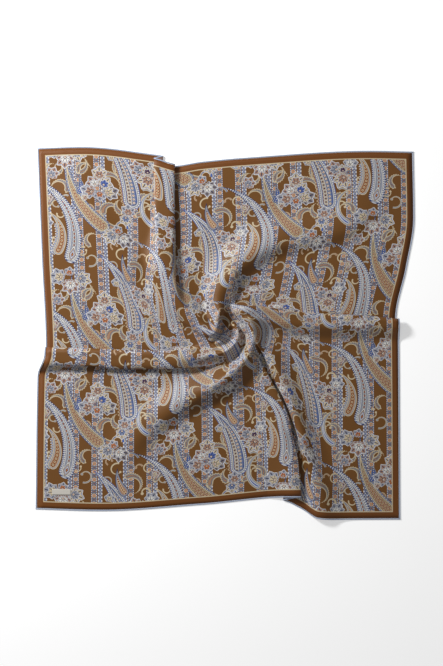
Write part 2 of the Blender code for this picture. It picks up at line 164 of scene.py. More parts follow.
KNOT = (18.0, 12.0)  # the middle of the swirl, in plan
KNOT_TURN = 0.35  # radians that it is turned
KNOT_REACH = 55.0  # over which that turn fades
EYE = (12.0, 27.0)  # the hollow of the swirl
EYE_RADIUS = 13.0
EYE_DEPTH = 0.8  # share of the height that is missing in the eye
FOLD_FALL = 3  # power by which a fold's sides fall away: the higher, the sharper its crest
FOLD_BLEND = 4  # power by which soft folds are summed, so that the highest one shows where they meet

SETTLING = 24  # passes that round the creases of the knot
SETTLE_SHARE = 0.4  # of the way towards its neighbours that each pass moves a point
SETTLE_REACH = 90.0  # from the knot, over which that share fades

# Soft folds: a crest point (x, y), its height there, and how far the fold falls away on the left and on the
# right of its own direction. In the knot they turn anticlockwise about the eye.
SOFT_FOLDS = {
    "upper_right": fold(
        (345, 290, 1, 30, 62),
        (276, 232, 10, 30, 62),
        (190, 214, 13, 30, 60),
        (105, 203, 18, 32, 60),
        (48, 170, 21, 34, 56),
        (8, 128, 22, 28, 50),
        (-8, 85, 23, 20, 44),
        (-14, 48, 23, 16, 34),
        (-20, 14, 20, 15, 24),
        (-24, -14, 12, 14, 14),
    ),
    "lower_left": fold(
        (-245, -290, 1, 52, 34),
        (-190, -226, 10, 52, 34),
        (-135, -178, 17, 50, 34),
        (-70, -140, 22, 44, 34),
        (-12, -110, 24, 30, 34),
        (26, -82, 24, 20, 34),
        (54, -48, 24, 16, 30),
        (66, -12, 24, 16, 26),
        (60, 20, 23, 15, 28),
        (46, 42, 21, 14, 24),
        (30, 54, 14, 15, 17),
    ),
    "upper_left_inner": fold(
        (-190, 205, 1, 40, 30),
        (-150, 148, 9, 44, 30),
        (-112, 92, 13, 44, 26),
        (-72, 42, 17, 36, 22),
        (-40, 6, 19, 24, 18),
        (-14, -20, 12, 16, 14),
    ),
    "upper_left_outer": fold(
        (-345, 370, 1, 34, 60),
        (-312, 300, 6, 34, 60),
        (-272, 238, 9, 34, 60),
        (-214, 172, 8, 34, 56),
        (-180, 120, 1, 30, 40),
    ),
    "left_tail": fold(
        (-120, -58, 4, 20, 20),
        (-70, -54, 12, 18, 18),
        (-30, -48, 16, 15, 16),
        (4, -38, 17, 13, 14),
        (26, -18, 15, 12, 12),
        (30, 4, 11, 11, 11),
        (18, 16, 6, 10, 10),
    ),
}

# Crisp folds of the knot, raised on the settled cloth: as the soft folds, with one side steep. Those of
# negative height are troughs.
CREASES = {
    "right_arm": fold(
        (150, 56, 1, 20, 5),
        (96, 58, 4, 24, 5),
        (56, 60, 6.5, 26, 4.5),
        (34, 57, 7.5, 24, 6),
        (32, 42, 8, 22, 5),
        (43, 20, 8, 24, 5),
        (51, -3, 7.5, 26, 5),
        (54, -26, 6.5, 24, 5),
        (44, -54, 5, 18, 5),
        (22, -74, 1, 14, 6),
    ),
    "flap": fold(
        (-112, 48, 1, 22, 5),
        (-92, 27, 3.5, 22, 4.5),
        (-67, 8, 5, 24, 4.5),
        (-44, -6, 6.5, 26, 4.5),
        (-22, -2, 7.5, 24, 4.5),
        (-10, 16, 7.5, 20, 4.5),
        (-5, 42, 6.5, 18, 5),
        (4, 64, 2, 14, 6),
    ),
    "top_fold": fold(
        (20, 70, 3, 18, 8),
        (24, 92, 5.5, 20, 7),
        (27, 122, 4, 22, 6),
        (31, 165, 0.5, 22, 10),
    ),
    "lower_fold": fold(
        (-60, -138, 1, 12, 26),
        (-12, -104, 4, 8, 26),
        (14, -82, 6.5, 6, 24),
        (34, -62, 6.5, 6, 22),
        (50, -44, 4, 8, 18),
    ),
    "left_arm": fold(
        (-108, -79, 1, 18, 4),
        (-66, -78, 4, 20, 4),
        (-30, -72, 4, 18, 4.5),
        (-6, -62, 3, 12, 5),
    ),
    "inner_roll": fold(
        (-24, -52, 3, 8, 6),
        (2, -44, 5, 8, 7),
        (22, -30, 5.5, 7, 7),
        (33, -6, 5.5, 6, 7),
        (28, 14, 5, 6, 6),
        (12, 22, 4, 6, 6),
        (2, 12, 2, 5, 5),
    ),
    "arch": fold(
        (6, 50, -4, 6, 6),
        (20, 38, -9, 6, 6),
        (36, 15, -9, 5, 5),
        (43, -7, -8, 5, 5),
        (43, -30, -6, 5, 5),
        (30, -50, -3, 5, 5),
    ),
    "eye_left": fold(
        (-1, 40, -5, 6, 6),
        (-5, 18, -8, 6, 6),
        (-12, -4, -8, 6, 6),
        (-24, -22, -5, 6, 5),
        (-50, -24, -1, 6, 5),
    ),
    "eye_centre": fold(
        (14, 8, -7, 8, 8),
        (16, -8, -8, 8, 8),
        (6, -22, -5, 8, 8),
    ),
    "pocket": fold(
        (35, 100, -2, 7, 7),
        (33, 86, -5, 9, 9),
        (31, 74, -6, 10, 10),
    ),
    "left_crease": fold(
        (-104, 28, -1, 5, 8),
        (-70, -2, -5, 5, 8),
        (-42, -18, -5, 5, 8),
        (-10, -34, -3, 5, 6),
    ),
    "lower_pocket": fold(
        (-2, -74, -3, 6, 6),
        (14, -62, -8, 7, 7),
        (28, -50, -5, 6, 6),
    ),
}

# ---------------------------------------------------------------- the print's design
COLUMN = 248.4  # across, from one column of the repeat to the next, which hangs half a repeat lower
REPEAT = 300.0  # down a column, before the whole print is squeezed
SQUEEZE = 1.058  # how much closer together the print lies along v, about SQUEEZE_V
SQUEEZE_V = 290.0
FIELD_EDGE = 432.0  # from the middle to the line between the field and the border
EDGE_LINE = 2.2  # width of that line
BAND_REACH = 24.0  # the deepest place that a motif's bands are given for
FRINGE_REACH = 120.0  # length of a drop's flamed fringe, from its round end
CRESCENT_REACH = 70.0  # length of a crescent's lobes, from its round end


def records(columns, *values):
    """A short table's rows, each with named columns."""
    return [dict(zip(columns.split(), value)) for value in values]


# Vertical garlands, at their places across half a column of the repeat.
GARLANDS = records(
    "kind u",
    ("Rosette", 54.0),
    ("Scalloped", 67.5),
    ("Scalloped", 123.5),
    ("Rosette", 136.5),
)
GARLAND_STEP = COLUMN / 2

# Scrolling stems: arcs that narrow, growing or closing in as they turn, with a bud at their end.
STEMS = records(
    "tint u v radius growth start turn width",
    ("mist", 106, 337, 8.5, -2, 40, 190, 2.2),
    ("cream", 140, 210, 11, -3, 60, 320, 1.8),
    ("peach", 158, 312, 9, -1, -10, 190, 3.0),
    ("cobalt", 231, 273, 12, 0, -12, 200, 4.6),
    ("cream", 286, 330, 12, -4, 200, -230, 2.0),
    ("mist", 40, 208, 14, -5, 130, -260, 2.2),
    ("cream", 300, 205, 13, -4, 20, 250, 2.0),
    ("mist", 214, 344, 15, -4, 20, 120, 2.0),
    ("steel", 12, 357, 9, -2, 100, -270, 1.6),
    ("peach", 30, 357, 9, -2, 20, 150, 2.0),
    ("cream", 46, 298, 9.5, -1, -10, 210, 2.4),
    ("steel", 9, 374, 21, -2, 20, 130, 2.6),
    ("mist", 158, 190, 16, -7, 250, 260, 2.2),
    ("cream", 330, 390, 12, -4, 60, -280, 1.8),
    ("cream", 229, 206, 15, -5, 70, 250, 1.9),
    ("mist", 208, 178, 12, -4, 200, -250, 1.9),
    ("peach", 212, 226, 9, -3, 250, -240, 1.7),
    ("mist", 86, 326, 12, -4, 40, 250, 1.9),
    ("cream", 158, 294, 13, -4, 110, -260, 1.9),
    ("cream", 94, 300, 9, -3, 160, 240, 1.7),
    ("steel", 92, 412, 11, -4, 300, 250, 1.8),
)
STEM_TAPER = 0.5  # share of a stem's width that is lost at its end
STEM_CORE = 0.4  # how far inside it its own tint starts, as a share of its width
STEM_BUD = 1.4  # radius of its bud, as a share of its width
PAST_END = 99.0  # more than any depth: ends a stem where its turn ends

# Bent drops, from their round end by way of their middle to their tip: the paisleys and leaves, in the
# order in which they lie on each other. swell is 1 where they narrow evenly, and more where they stay full.
DROPS = records(
    "fill bulb_u bulb_v mid_u mid_v tip_u tip_v radius swell",
    ("Leaf", 138, 402, 146, 418, 162, 414, 5.2, 1.3),
    ("Leaf", 194, 394, 213, 396, 229, 368, 6.4, 1.3),
    ("Leaf", 190, 306, 199, 322, 224, 308, 7.5, 1.4),
    ("Leaf", 214, 268, 194, 282, 186, 305, 7.5, 1.4),
    ("Leaf", 90, 398, 98, 403, 99, 414, 4.6, 1.2),
    ("Leaf", 226, 310, 219, 322, 225, 336, 6.0, 1.3),
    ("Leaf", 268, 309, 278, 320, 276, 337, 6.0, 1.3),
    ("Leaf", 275, 351, 284, 358, 293, 352, 4.6, 1.3),
    ("Leaf", 392, 250, 403, 262, 400, 280, 5.4, 1.3),
    ("Leaf", 318, 177, 333, 187, 348, 170, 6.0, 1.3),
    ("Leaf", 109, 357, 95, 379, 76, 367, 5.0, 1.4),
    ("Leaf", 5, 337, 29, 332, 26, 300, 6.0, 1.4),
    ("Leaf", 222, 425, 218, 411, 225, 396, 4.6, 1.3),
    ("Leaf", 60, 404, 66, 415, 78, 420, 4.6, 1.3),
    ("Leaf", 154, 226, 150, 243, 168, 251, 5.0, 1.3),
    ("Leaf", 62, 168, 48, 184, 36, 178, 5.6, 1.3),
    ("Scroll", 298, 288, 276, 333, 310, 370, 6.4, 1.6),
    ("Comet", -382, 199, -383, 298, -478, 393, 17.0, 1.7),
    ("Horn", 186, 272, 131, 340, 114, 462, 18.0, 1.4),
    ("Drop", 7, 190, -10, 270, -72, 354, 19.5, 1.9),
    ("Sprig", -3, 302, -14, 322, -18, 359, 11.0, 1.3),
    ("Crescent", 85, 215, 95, 252, 64, 308, 11.0, 1.7),
    ("Bud", 139, 354, 142, 368, 137, 386, 9.0, 1.4),
)
BEHIND = 1.2  # radians behind a drop's round end that its arc is followed

# Flower heads, as the drops. turn is the way that each leans, in degrees, where its longest petal points.
FLOWERS = records(
    "u v size petals turn petal heart",
    (-408, 150, 29, 8, 165, "mist", "cream"),
    (-366, 146, 28, 8, -20, "cream", "mist"),
    (-388, 136, 30, 9, -95, "peach", "white"),
    (-390, 158, 17, 7, 80, "mist", "orange"),
    (44, 248, 31, 9, -120, "cream", "peach"),
    (56, 276, 25, 8, 60, "mist", "white"),
    (28, 266, 28, 8, 165, "peach", "mist"),
    (42, 262, 17, 7, 100, "cream", "plum"),
    (166, 352, 29, 8, 160, "mist", "peach"),
    (200, 352, 29, 8, 20, "stone", "cream"),
    (174, 370, 25, 8, 130, "peach", "white"),
    (192, 370, 25, 8, 50, "cream", "cobalt"),
    (183, 350, 20, 7, -90, "mist", "orange"),
    (184, 390, 26, 7, 90, "cream", "peach"),
    (75, 393, 23, 8, 60, "peach", "mist"),
    (210, 254, 29, 9, -125, "cream", "mist"),
    (232, 248, 29, 9, -50, "stone", "white"),
    (222, 260, 18, 7, 110, "mist", "orange"),
    (246, 308, 24, 8, 90, "mist", "peach"),
    (240, 298, 22, 8, -90, "cream", "steel"),
    (-284, 134, 17, 6, 90, "mist", "cream"),
    (64, 338, 14, 5, 20, "peach", "cream"),
    (152, 336, 12, 5, 140, "cream", "peach"),
)
FLOWER_LEAN = 0.36  # share by which a leaning flower's petals are longer in front and shorter behind
INNER_PETALS = 0.62  # length of the inner ring's petals, as a share of the outer ring's
PETAL_TAPER = 0.2  # how much a petal is fuller at its base than at its point
PETAL_WIDTH = 0.95  # share of its sector that a petal fills
PETAL_RIM = 0.4  # how far inside a petal its own tint starts
VEIN_WIDTH = 0.1  # of a petal's dark vein
VEIN_END = 0.55  # how far inside a petal its vein ends
HEART_REACH = 0.17  # of a flower, in shares of its size
FLOWER_DEPTHS = 20.0  # band depths to a flower's size


def srgb(red, green, blue):
    """A colour of 0 to 255 a channel, as Blender's linear one."""
    channels = [c / 255 for c in (red, green, blue)]
    return tuple(c / 12.92 if c <= 0.04045 else ((c + 0.055) / 1.055) ** 2.4 for c in channels)


def shade(name):
    """One of the scarf's dyes, from the panel's settings."""
    return tuple(getattr(bpy.context.scene.scarf_colours, name))


# ---------------------------------------------------------------- curves
TINY = 1e-12  # keeps a sum of slopes away from zero


def read(rows, column, at):
    """A table's column at any place, by a cubic that does not swing past its rows."""
    x, y = rows["along"], rows[column]
    step = np.diff(x)
    slope = np.diff(y) / step
    product, total = slope[:-1] * slope[1:], slope[:-1] + slope[1:]
    inner = np.where(product > 0, 2 * product / (total + TINY), 0)
    tangent = np.concatenate([slope[:1], inner, slope[-1:]])
    at = np.clip(at, x[0], x[-1])
    k = np.clip(np.searchsorted(x, at) - 1, 0, len(x) - 2)
    t = (at - x[k]) / step[k]
    return (
        (2 * t**3 - 3 * t**2 + 1) * y[k]
        + (t**3 - 2 * t**2 + t) * step[k] * tangent[k]
        + (3 * t**2 - 2 * t**3) * y[k + 1]
        + (t**3 - t**2) * step[k] * tangent[k + 1]
    )


def unit(vectors):
    """Vectors of length 1 in the same directions."""
    return vectors / np.linalg.norm(vectors, axis=-1, keepdims=True)


def smoothstep(x):
    """0 below 0, 1 above 1, and a smooth rise between."""
    x = np.clip(x, 0.0, 1.0)
    return x * x * (3 - 2 * x)


def spline(points, samples):
    """A uniform cubic B-spline from the first to the last of points[..., k, :]."""
    first = 2 * points[..., :1, :] - points[..., 1:2, :]
    last = 2 * points[..., -1:, :] - points[..., -2:-1, :]
    p = np.concatenate([first, points, last], axis=-2)
    t = np.linspace(0, points.shape[-2] - 1, samples)
    k = np.minimum(t.astype(int), points.shape[-2] - 2)
    f = (t - k)[:, None]
    weights = ((1 - f) ** 3, 3 * f**3 - 6 * f**2 + 4, -3 * f**3 + 3 * f**2 + 3 * f + 1, f**3)
    return sum(w * p[..., k + i, :] for i, w in enumerate(weights)) / 6


def flank(lip, lap, crest, out, lead):
    """Five (place, height) control points from the low cloth beside a lip up to the lip.

    out is the direction from the lip to that cloth. A positive lap folds the cloth back under the lip; a
    negative one makes a slope of that length. lead is how far outside the turn the curve becomes flat.
    """
    low = np.full_like(crest, REST)
    folded = smoothstep((lap + LIP_RADIUS) / (2 * LIP_RADIUS))
    hidden = np.minimum(LAP_HEIGHT, LAP_SHARE * crest)
    turn = np.minimum(TURN_HEIGHT, TURN_SHARE * crest)
    under = lip - out * (lap + LIP_RADIUS)
    tip = lip + out * LIP_RADIUS
    lapped = ((under, hidden), (tip, hidden), (tip, turn))
    slope = ((under + share * (tip - under), rise * crest) for share, rise in SLOPE_STEPS)
    climb = [
        (folded * a[0] + (1 - folded) * b[0], REST + folded * a[1] + (1 - folded) * b[1])
        for a, b in zip(lapped, slope)
    ]
    return [(under + out * lead, low), (under, low), *climb]


def stations(places):
    """(place, height) pairs of arrays as one array: station, control point, place and height."""
    return np.stack([np.stack(place, -1) for place in places], -2)


def ridge_points(start, end, rows, along):
    """Control points across a pleat that stands up."""
    columns = ("lip_a", "lip_b", "lap_a", "lap_b", "crest")
    lip_a, lip_b, lap_a, lap_b, crest = (read(rows, name, along) for name in columns)
    low = np.full_like(along, REST)
    left = flank(lip_a, lap_a, crest, -1, LEAD)
    right = flank(lip_b, lap_b, crest, 1, LEAD)
    top = [(lip_a + share * (lip_b - lip_a), REST + crest) for share in CREST_STEPS]
    before = [(start, low), ((start + left[0][0]) / 2, low)]
    after = [((end + right[0][0]) / 2, low), (end, low)]
    return stations(before + left + top + right[::-1] + after)


def groove_points(start, end, rows, along):
    """Control points across the groove pleat, as many as ridge_points gives."""
    columns = ("lip_a", "lip_b", "lap_a", "lap_b", "crest_a", "crest_b")
    lip_a, lip_b, lap_a, lap_b, crest_a, crest_b = (read(rows, name, along) for name in columns)
    low = np.full_like(along, REST)
    floor = (lip_b + lap_b + LIP_RADIUS) - (lip_a - lap_a - LIP_RADIUS)
    left = flank(lip_a, lap_a, crest_a, 1, floor / 4)
    right = flank(lip_b, lap_b, crest_b, -1, floor / 4)
    climb = [(lip_a - share * RISE, REST + rise * crest_a) for share, rise in CLIMB_STEPS]
    descent = [(lip_b + share * FALL, REST + rise * crest_b) for share, rise in CLIMB_STEPS[::-1]]
    return stations([(start, low)] + climb + left[::-1] + right + descent + [(end, low)])


# ---------------------------------------------------------------- lines across the cloth
def drawn(material, along, draw, sign):
    """Plan place of a panel's point: its flat place, moved towards the pleat."""
    short = 1 - SLACK * np.exp(-(material**2 + along**2) / SLACK_REACH**2)
    return material + sign * draw * short


def cross_lines(draw_a, draw_b, far_pleat, near_pleat, near_points, near_reach):
    """Look-up of the lines across the cloth: flat place, plan place and height, by station and share.

    near_pleat lies at negative stations and far_pleat at positive ones, and through the knot one turns into
    the other. near_points gives the control points of near_pleat, which takes in near_reach on each side.
    """
    along = np.linspace(-SIDE / 2, SIDE / 2, STATIONS)
    pull_a, pull_b = read(draw_a, "draw", along), read(draw_b, "draw", along)
    inner_far, inner_near = far_pleat["along"][0], near_pleat["along"][-1]
    share = smoothstep((along - inner_near) / (inner_far - inner_near))
    far_at, near_at = np.maximum(along, inner_far), np.minimum(along, inner_near)

    def mixed(column):
        return share * read(far_pleat, column, far_at) + (1 - share) * read(near_pleat, column, near_at)

    reach = share * MARGIN + (1 - share) * near_reach
    plan_a = mixed("lip_a") - reach + np.minimum(mixed("lap_a"), 0)
    plan_b = mixed("lip_b") + reach - np.minimum(mixed("lap_b"), 0)
    band_a = 2 * plan_a - drawn(plan_a, along, pull_a, 1)
    band_b = 2 * plan_b - drawn(plan_b, along, pull_b, -1)
    start, end = drawn(band_a, along, pull_a, 1), drawn(band_b, along, pull_b, -1)
    far = ridge_points(start, end, far_pleat, far_at)
    near = near_points(start, end, near_pleat, near_at)
    curve = spline(near + share[:, None, None] * (far - near), SAMPLES)
    run = np.cumsum(np.linalg.norm(np.diff(curve, axis=1), axis=-1), axis=1)
    run = np.concatenate([np.zeros((STATIONS, 1)), run / run[:, -1:]], axis=1)
    panel = np.linspace(0, 1, SAMPLES)
    along, pull_a, pull_b, band_a, band_b = (row[:, None] for row in (along, pull_a, pull_b, band_a, band_b))
    flat_a = -EDGE + panel * (band_a + EDGE)
    flat_b = band_b + panel * (EDGE - band_b)
    flat = [flat_a, band_a + run * (band_b - band_a), flat_b]
    plan = [drawn(flat_a, along, pull_a, 1), curve[..., 0], drawn(flat_b, along, pull_b, -1)]
    level = np.zeros((STATIONS, SAMPLES))
    height = [level, curve[..., 1] - REST, level]
    columns = {"flat": flat, "plan": plan, "height": height}
    return {name: np.concatenate(thirds, axis=1) for name, thirds in columns.items()}


def sample(lines, column, along, share):
    """The look-up's value at any station and any share (0 to 3: panel, pleat, panel) of the line."""
    values = lines[column]
    row = np.clip((along + SIDE / 2) / SIDE, 0, 1) * (STATIONS - 1)
    third = np.clip(share.astype(int), 0, 2)
    place = third * SAMPLES + np.clip(share - third, 0, 1) * (SAMPLES - 1)
    i = np.minimum(row.astype(int), STATIONS - 2)
    j = np.minimum(place.astype(int), third * SAMPLES + SAMPLES - 2)
    f, g = row - i, place - j
    below = values[i, j] * (1 - g) + values[i, j + 1] * g
    above = values[i + 1, j] * (1 - g) + values[i + 1, j + 1] * g
    return below * (1 - f) + above * f


# ---------------------------------------------------------------- soft folds and the knot
def soft_fold(x, y, rows):
    """Height over the plan of one fold, from its table."""
    steps = np.linspace(0, rows["along"][-1], CREST_SAMPLES)
    crest = spline(np.stack([rows["x"], rows["y"]], -1), CREST_SAMPLES)
    height, left, right = (read(rows, column, steps) for column in ("height", "left", "right"))
    direction = np.gradient(crest, axis=0)
    away_x, away_y = x[..., None] - crest[:, 0], y[..., None] - crest[:, 1]
    near = np.argmin(away_x**2 + away_y**2, axis=-1)
    dx = np.take_along_axis(away_x, near[..., None], -1)[..., 0]
    dy = np.take_along_axis(away_y, near[..., None], -1)[..., 0]
    side = direction[near, 0] * dy - direction[near, 1] * dx
    width = np.where(side > 0, left[near], right[near])
    fall = np.clip(1 - (dx**2 + dy**2) / width**2 / 2, 0, 1)
    return height[near] * fall**FOLD_FALL


def soft_height(x, y):
    """Height of all the soft folds, with the eye of the knot sunk between them."""
    total = sum(soft_fold(x, y, crest) ** FOLD_BLEND for crest in SOFT_FOLDS.values()) ** (1 / FOLD_BLEND)
    from_eye = (x - EYE[0]) ** 2 + (y - EYE[1]) ** 2
    return total * (1 - EYE_DEPTH * np.exp(-from_eye / EYE_RADIUS**2))


def twist(x, y):
    """Turns the plan about the knot, most at its middle."""
    dx, dy = x - KNOT[0], y - KNOT[1]
    angle = KNOT_TURN * np.exp(-(dx**2 + dy**2) / KNOT_REACH**2)
    c, s = np.cos(angle), np.sin(angle)
    return KNOT[0] + c * dx - s * dy, KNOT[1] + s * dx + c * dy


ACROSS = cross_lines(LEFT_DRAW, RIGHT_DRAW, TOP_PLEAT, BOTTOM_PLEAT, groove_points, RISE)
UPWARD = cross_lines(BOTTOM_DRAW, TOP_DRAW, RIGHT_PLEAT, LEFT_PLEAT, ridge_points, MARGIN)


def cloth(p, q):
    """The cloth at shares p (across) and q (upward) of its lines: its middle surface and flat places."""
    low, high = np.full_like(q, -SIDE / 2), np.full_like(q, SIDE / 2)
    for _ in range(HALVINGS):
        v = (low + high) / 2
        above = sample(UPWARD, "flat", sample(ACROSS, "flat", v, p), q) > v
        low, high = np.where(above, v, low), np.where(above, high, v)
    u = sample(ACROSS, "flat", v, p)
    x, y = twist(sample(ACROSS, "plan", v, p), sample(UPWARD, "plan", u, q))
    z = REST + sample(ACROSS, "height", v, p) + sample(UPWARD, "height", u, q) + soft_height(x, y)
    return np.stack([x, y, z], -1), np.stack([u, v], -1)


def line_shares():
    """Shares of a line at the mesh's own columns, closer together across the pleat and beside it."""
    panel = 1 - (1 - np.linspace(0, 1, PANEL_CELLS + 1)) ** PANEL_GRADING
    spans = [(k + np.arange(cells) / cells) / len(SPAN_CELLS) for k, cells in enumerate(SPAN_CELLS)]
    return np.concatenate([panel[:-1], 1 + np.concatenate(spans), 3 - panel[::-1]])


def settled(points):
    """The grid with its points in and near the knot moved towards their neighbours, to round its creases."""
    for _ in range(SETTLING):
        inner = points[1:-1, 1:-1]
        neighbours = (points[:-2, 1:-1] + points[2:, 1:-1] + points[1:-1, :-2] + points[1:-1, 2:]) / 4
        from_knot = (inner[..., 0] - KNOT[0]) ** 2 + (inner[..., 1] - KNOT[1]) ** 2
        share = SETTLE_SHARE * np.exp(-from_knot / SETTLE_REACH**2)[..., None]
        points[1:-1, 1:-1] = inner + share * (neighbours - inner)
    return points


def creased(points):
    """The settled grid with the crisp folds of the knot raised on it, and its troughs sunk."""
    x, y = points[..., 0], points[..., 1]
    points[..., 2] += sum(soft_fold(x, y, crest) for crest in CREASES.values())
    points[..., 2] = np.maximum(points[..., 2], REST)
    return points


def share_of_flat(u, v):
    """Shares (p, q) of the lines through a point of the lower left panel, from its flat place."""
    inner_u = sample(ACROSS, "flat", np.array([v]), np.array([1.0]))[0]
    inner_v = sample(UPWARD, "flat", np.array([u]), np.array([1.0]))[0]
    return (u + EDGE) / (inner_u + EDGE), (v + EDGE) / (inner_v + EDGE)


# ---------------------------------------------------------------- meshes
SIDES = ("left", "right", "bottom", "top")
EDGE_SAMPLES = 1200  # along a side, from which its evenly spaced points are read
HEM_RINGS = 901  # rings of points along a hem's roll
RINGS_A_STITCH = 4
HEM_SIDES = 12  # of each ring
HEM_PINCH = 0.05  # share by which the roll is narrower at a stitch
STITCH_STEPS = 7  # points along a stitch of the hem
STITCH_TURNS = (0.3, 1.08)  # where it starts and ends round the roll, in half turns from the outer side
STITCH_SLANT = 1.0  # half the length that it runs along the hem
THREAD = 0.2  # radius of the sewing thread
THREAD_SIDES = 5  # round the thread
THREAD_TIP = 0.4  # share of the radius at the thread's ends
LABEL_CELLS = (21, 7)  # along it and across it
LABEL_WALL = 0.4  # its thickness
LABEL_GAP = 0.1  # between the cloth and the label
LABEL_STITCH = 2.4  # between stitches round the label
# A stitch of the label: how far outside its edge, and the share of the label's height above the cloth.
LABEL_STITCH_PATH = ((-1.5, 0.9), (-0.9, 1.25), (-0.1, 1.3), (0.4, 0.8), (0.9, 0.1))
FLAT_MAP = "FlatCloth"  # UV map: the flat square, from 0 to 1
BAKE_MAP = "OFBake"  # UV map with the face and the reverse side by side
FACE_SHARE = 0.9  # of the bake map's side, for the printed face
REVERSE_SHARE = 0.095  # of its side, for the reverse


def linked(name, data):
    """A new object, linked to the scene."""
    obj = bpy.data.objects.new(name, data)
    bpy.context.scene.collection.objects.link(obj)
    return obj


def new_object(name, verts, faces, materials):
    """A smooth mesh object made from points in millimetres."""
    mesh = bpy.data.meshes.new(name)
    mesh.from_pydata((np.asarray(verts) * MM).tolist(), [], faces)
    mesh.shade_smooth()
    for material in materials:
        mesh.materials.append(material)
    return linked(name, mesh)


def grid_quads(rows, columns, start=0, turned=False):
    """Quads over a grid of points, numbered from start along its rows."""
    i, j = np.meshgrid(np.arange(rows - 1), np.arange(columns - 1), indexing="ij")
    corner = (start + i * columns + j).ravel()
    quads = np.stack([corner, corner + 1, corner + columns + 1, corner + columns], -1)
    return quads[:, ::-1] if turned else quads


def sheet_normals(points):
    """Normals of a grid of points, on the side from which its columns run to the right of its rows."""
    return unit(np.cross(np.gradient(points, axis=1), np.gradient(points, axis=0)))


def rim_of(rows, columns):
    """Numbers of a grid's outer points, once round."""
    index = np.arange(rows * columns).reshape(rows, columns)
    return np.concatenate([index[0, :-1], index[:-1, -1], index[-1, :0:-1], index[:0:-1, 0]])


def make_shell(name, points, flat, wall, materials):
    """A closed shell on a grid of points: its face in the first material, its reverse in the last."""
    rows, columns = points.shape[:2]
    normals = sheet_normals(points)
    verts = np.concatenate([(points + side * normals * wall / 2).reshape(-1, 3) for side in (1, -1)])
    count = rows * columns
    rim = rim_of(rows, columns)
    after = np.roll(rim, -1)
    edge = np.stack([rim + count, after + count, after, rim], -1)
    face, reverse = grid_quads(rows, columns), grid_quads(rows, columns, count, turned=True)
    obj = new_object(name, verts, np.concatenate([face, reverse, edge]).tolist(), materials)
    kinds = np.zeros(len(obj.data.polygons), int)
    kinds[len(face) : len(face) + len(reverse)] = len(materials) - 1
    obj.data.polygons.foreach_set("material_index", kinds)
    give_shell_maps(obj.data, flat.reshape(-1, 2) / SIDE + 0.5, len(face) * 4, len(reverse) * 4)
    return obj


def corner_points(mesh):
    """The number of the point at each corner of a mesh's faces."""
    corners = np.zeros(len(mesh.loops), int)
    mesh.loops.foreach_get("vertex_index", corners)
    return corners


def give_map(mesh, name, places):
    """A UV map, from the place of each corner of the faces."""
    mesh.uv_layers.new(name=name).data.foreach_set("uv", places.ravel())


def give_shell_maps(mesh, flat, face_corners, reverse_corners):
    """UV maps of a shell: its flat place, and a bake map that keeps its two sides apart."""
    place = flat[corner_points(mesh) % len(flat)]
    apart = place * FACE_SHARE
    reverse = slice(face_corners, face_corners + reverse_corners)
    apart[reverse] = FACE_SHARE + (1 - FACE_SHARE - REVERSE_SHARE) + place[reverse] * REVERSE_SHARE
    apart[reverse, 1] -= FACE_SHARE
    give_map(mesh, FLAT_MAP, place)
    give_map(mesh, BAKE_MAP, apart)


def fit(piece, slot, *nodes):
    """Lets a finished piece stand for its solids and ride on the scarf's one body."""
    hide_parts(*nodes)
    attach(piece, "root")


# ---------------------------------------------------------------- shader networks
TURN = 2 * math.pi
SOCKETS = {"f": "NodeSocketFloat", "c": "NodeSocketColor"}


def formula(operation, turned=False):
    """A Math node's operation as a method of Wire; turned swaps its two values."""

    def method(self, other):
        return self.net.math(operation, *((other, self) if turned else (self, other)))

    return method


class Wire:
    """A value in a shader network, so that formulas over the cloth read as plain arithmetic."""

    __add__ = __radd__ = formula("ADD")
    __mul__ = __rmul__ = formula("MULTIPLY")
    __sub__, __rsub__ = formula("SUBTRACT"), formula("SUBTRACT", turned=True)
    __truediv__, __rtruediv__ = formula("DIVIDE"), formula("DIVIDE", turned=True)
    __lt__, __gt__ = formula("LESS_THAN"), formula("GREATER_THAN")

    def __init__(self, net, socket):
        self.net, self.socket = net, socket

    def __neg__(self):
        return self * -1.0

    def __abs__(self):
        return self.net.math("ABSOLUTE", self)

    def between(self, low, high):
        """1 from low to high, and 0 elsewhere."""
        return (self > low) * (self < high)

    def wave(self, step):
        """0 to 1, to -1 and back over each step."""
        return self.net.math("SINE", self * (TURN / step))

    def scallops(self, step, height):
        """Round bumps, two over each step."""
        return abs(self.wave(step)) * height

    def cell(self, step):
        """Place in the nearest of evenly spaced cells, from its middle."""
        return self.net.math("WRAP", self, step / 2, -step / 2)

    def bands(self, text):
        """Colours by depth, in words such as "0 navy, 1.4 mist": each from its own depth on."""
        stops = [stop.split() for stop in text.split(", ")]
        node = self.net.node("ShaderNodeValToRGB", self / BAND_REACH)
        node.color_ramp.interpolation = "CONSTANT"
        elements = node.color_ramp.elements
        for (start, dye), element in zip(stops, [*elements, *(elements.new(1.0) for _ in stops[2:])]):
            element.position = float(start) / BAND_REACH
            element.color = (*shade(dye), 1.0)
        return Wire(self.net, node.outputs[0])


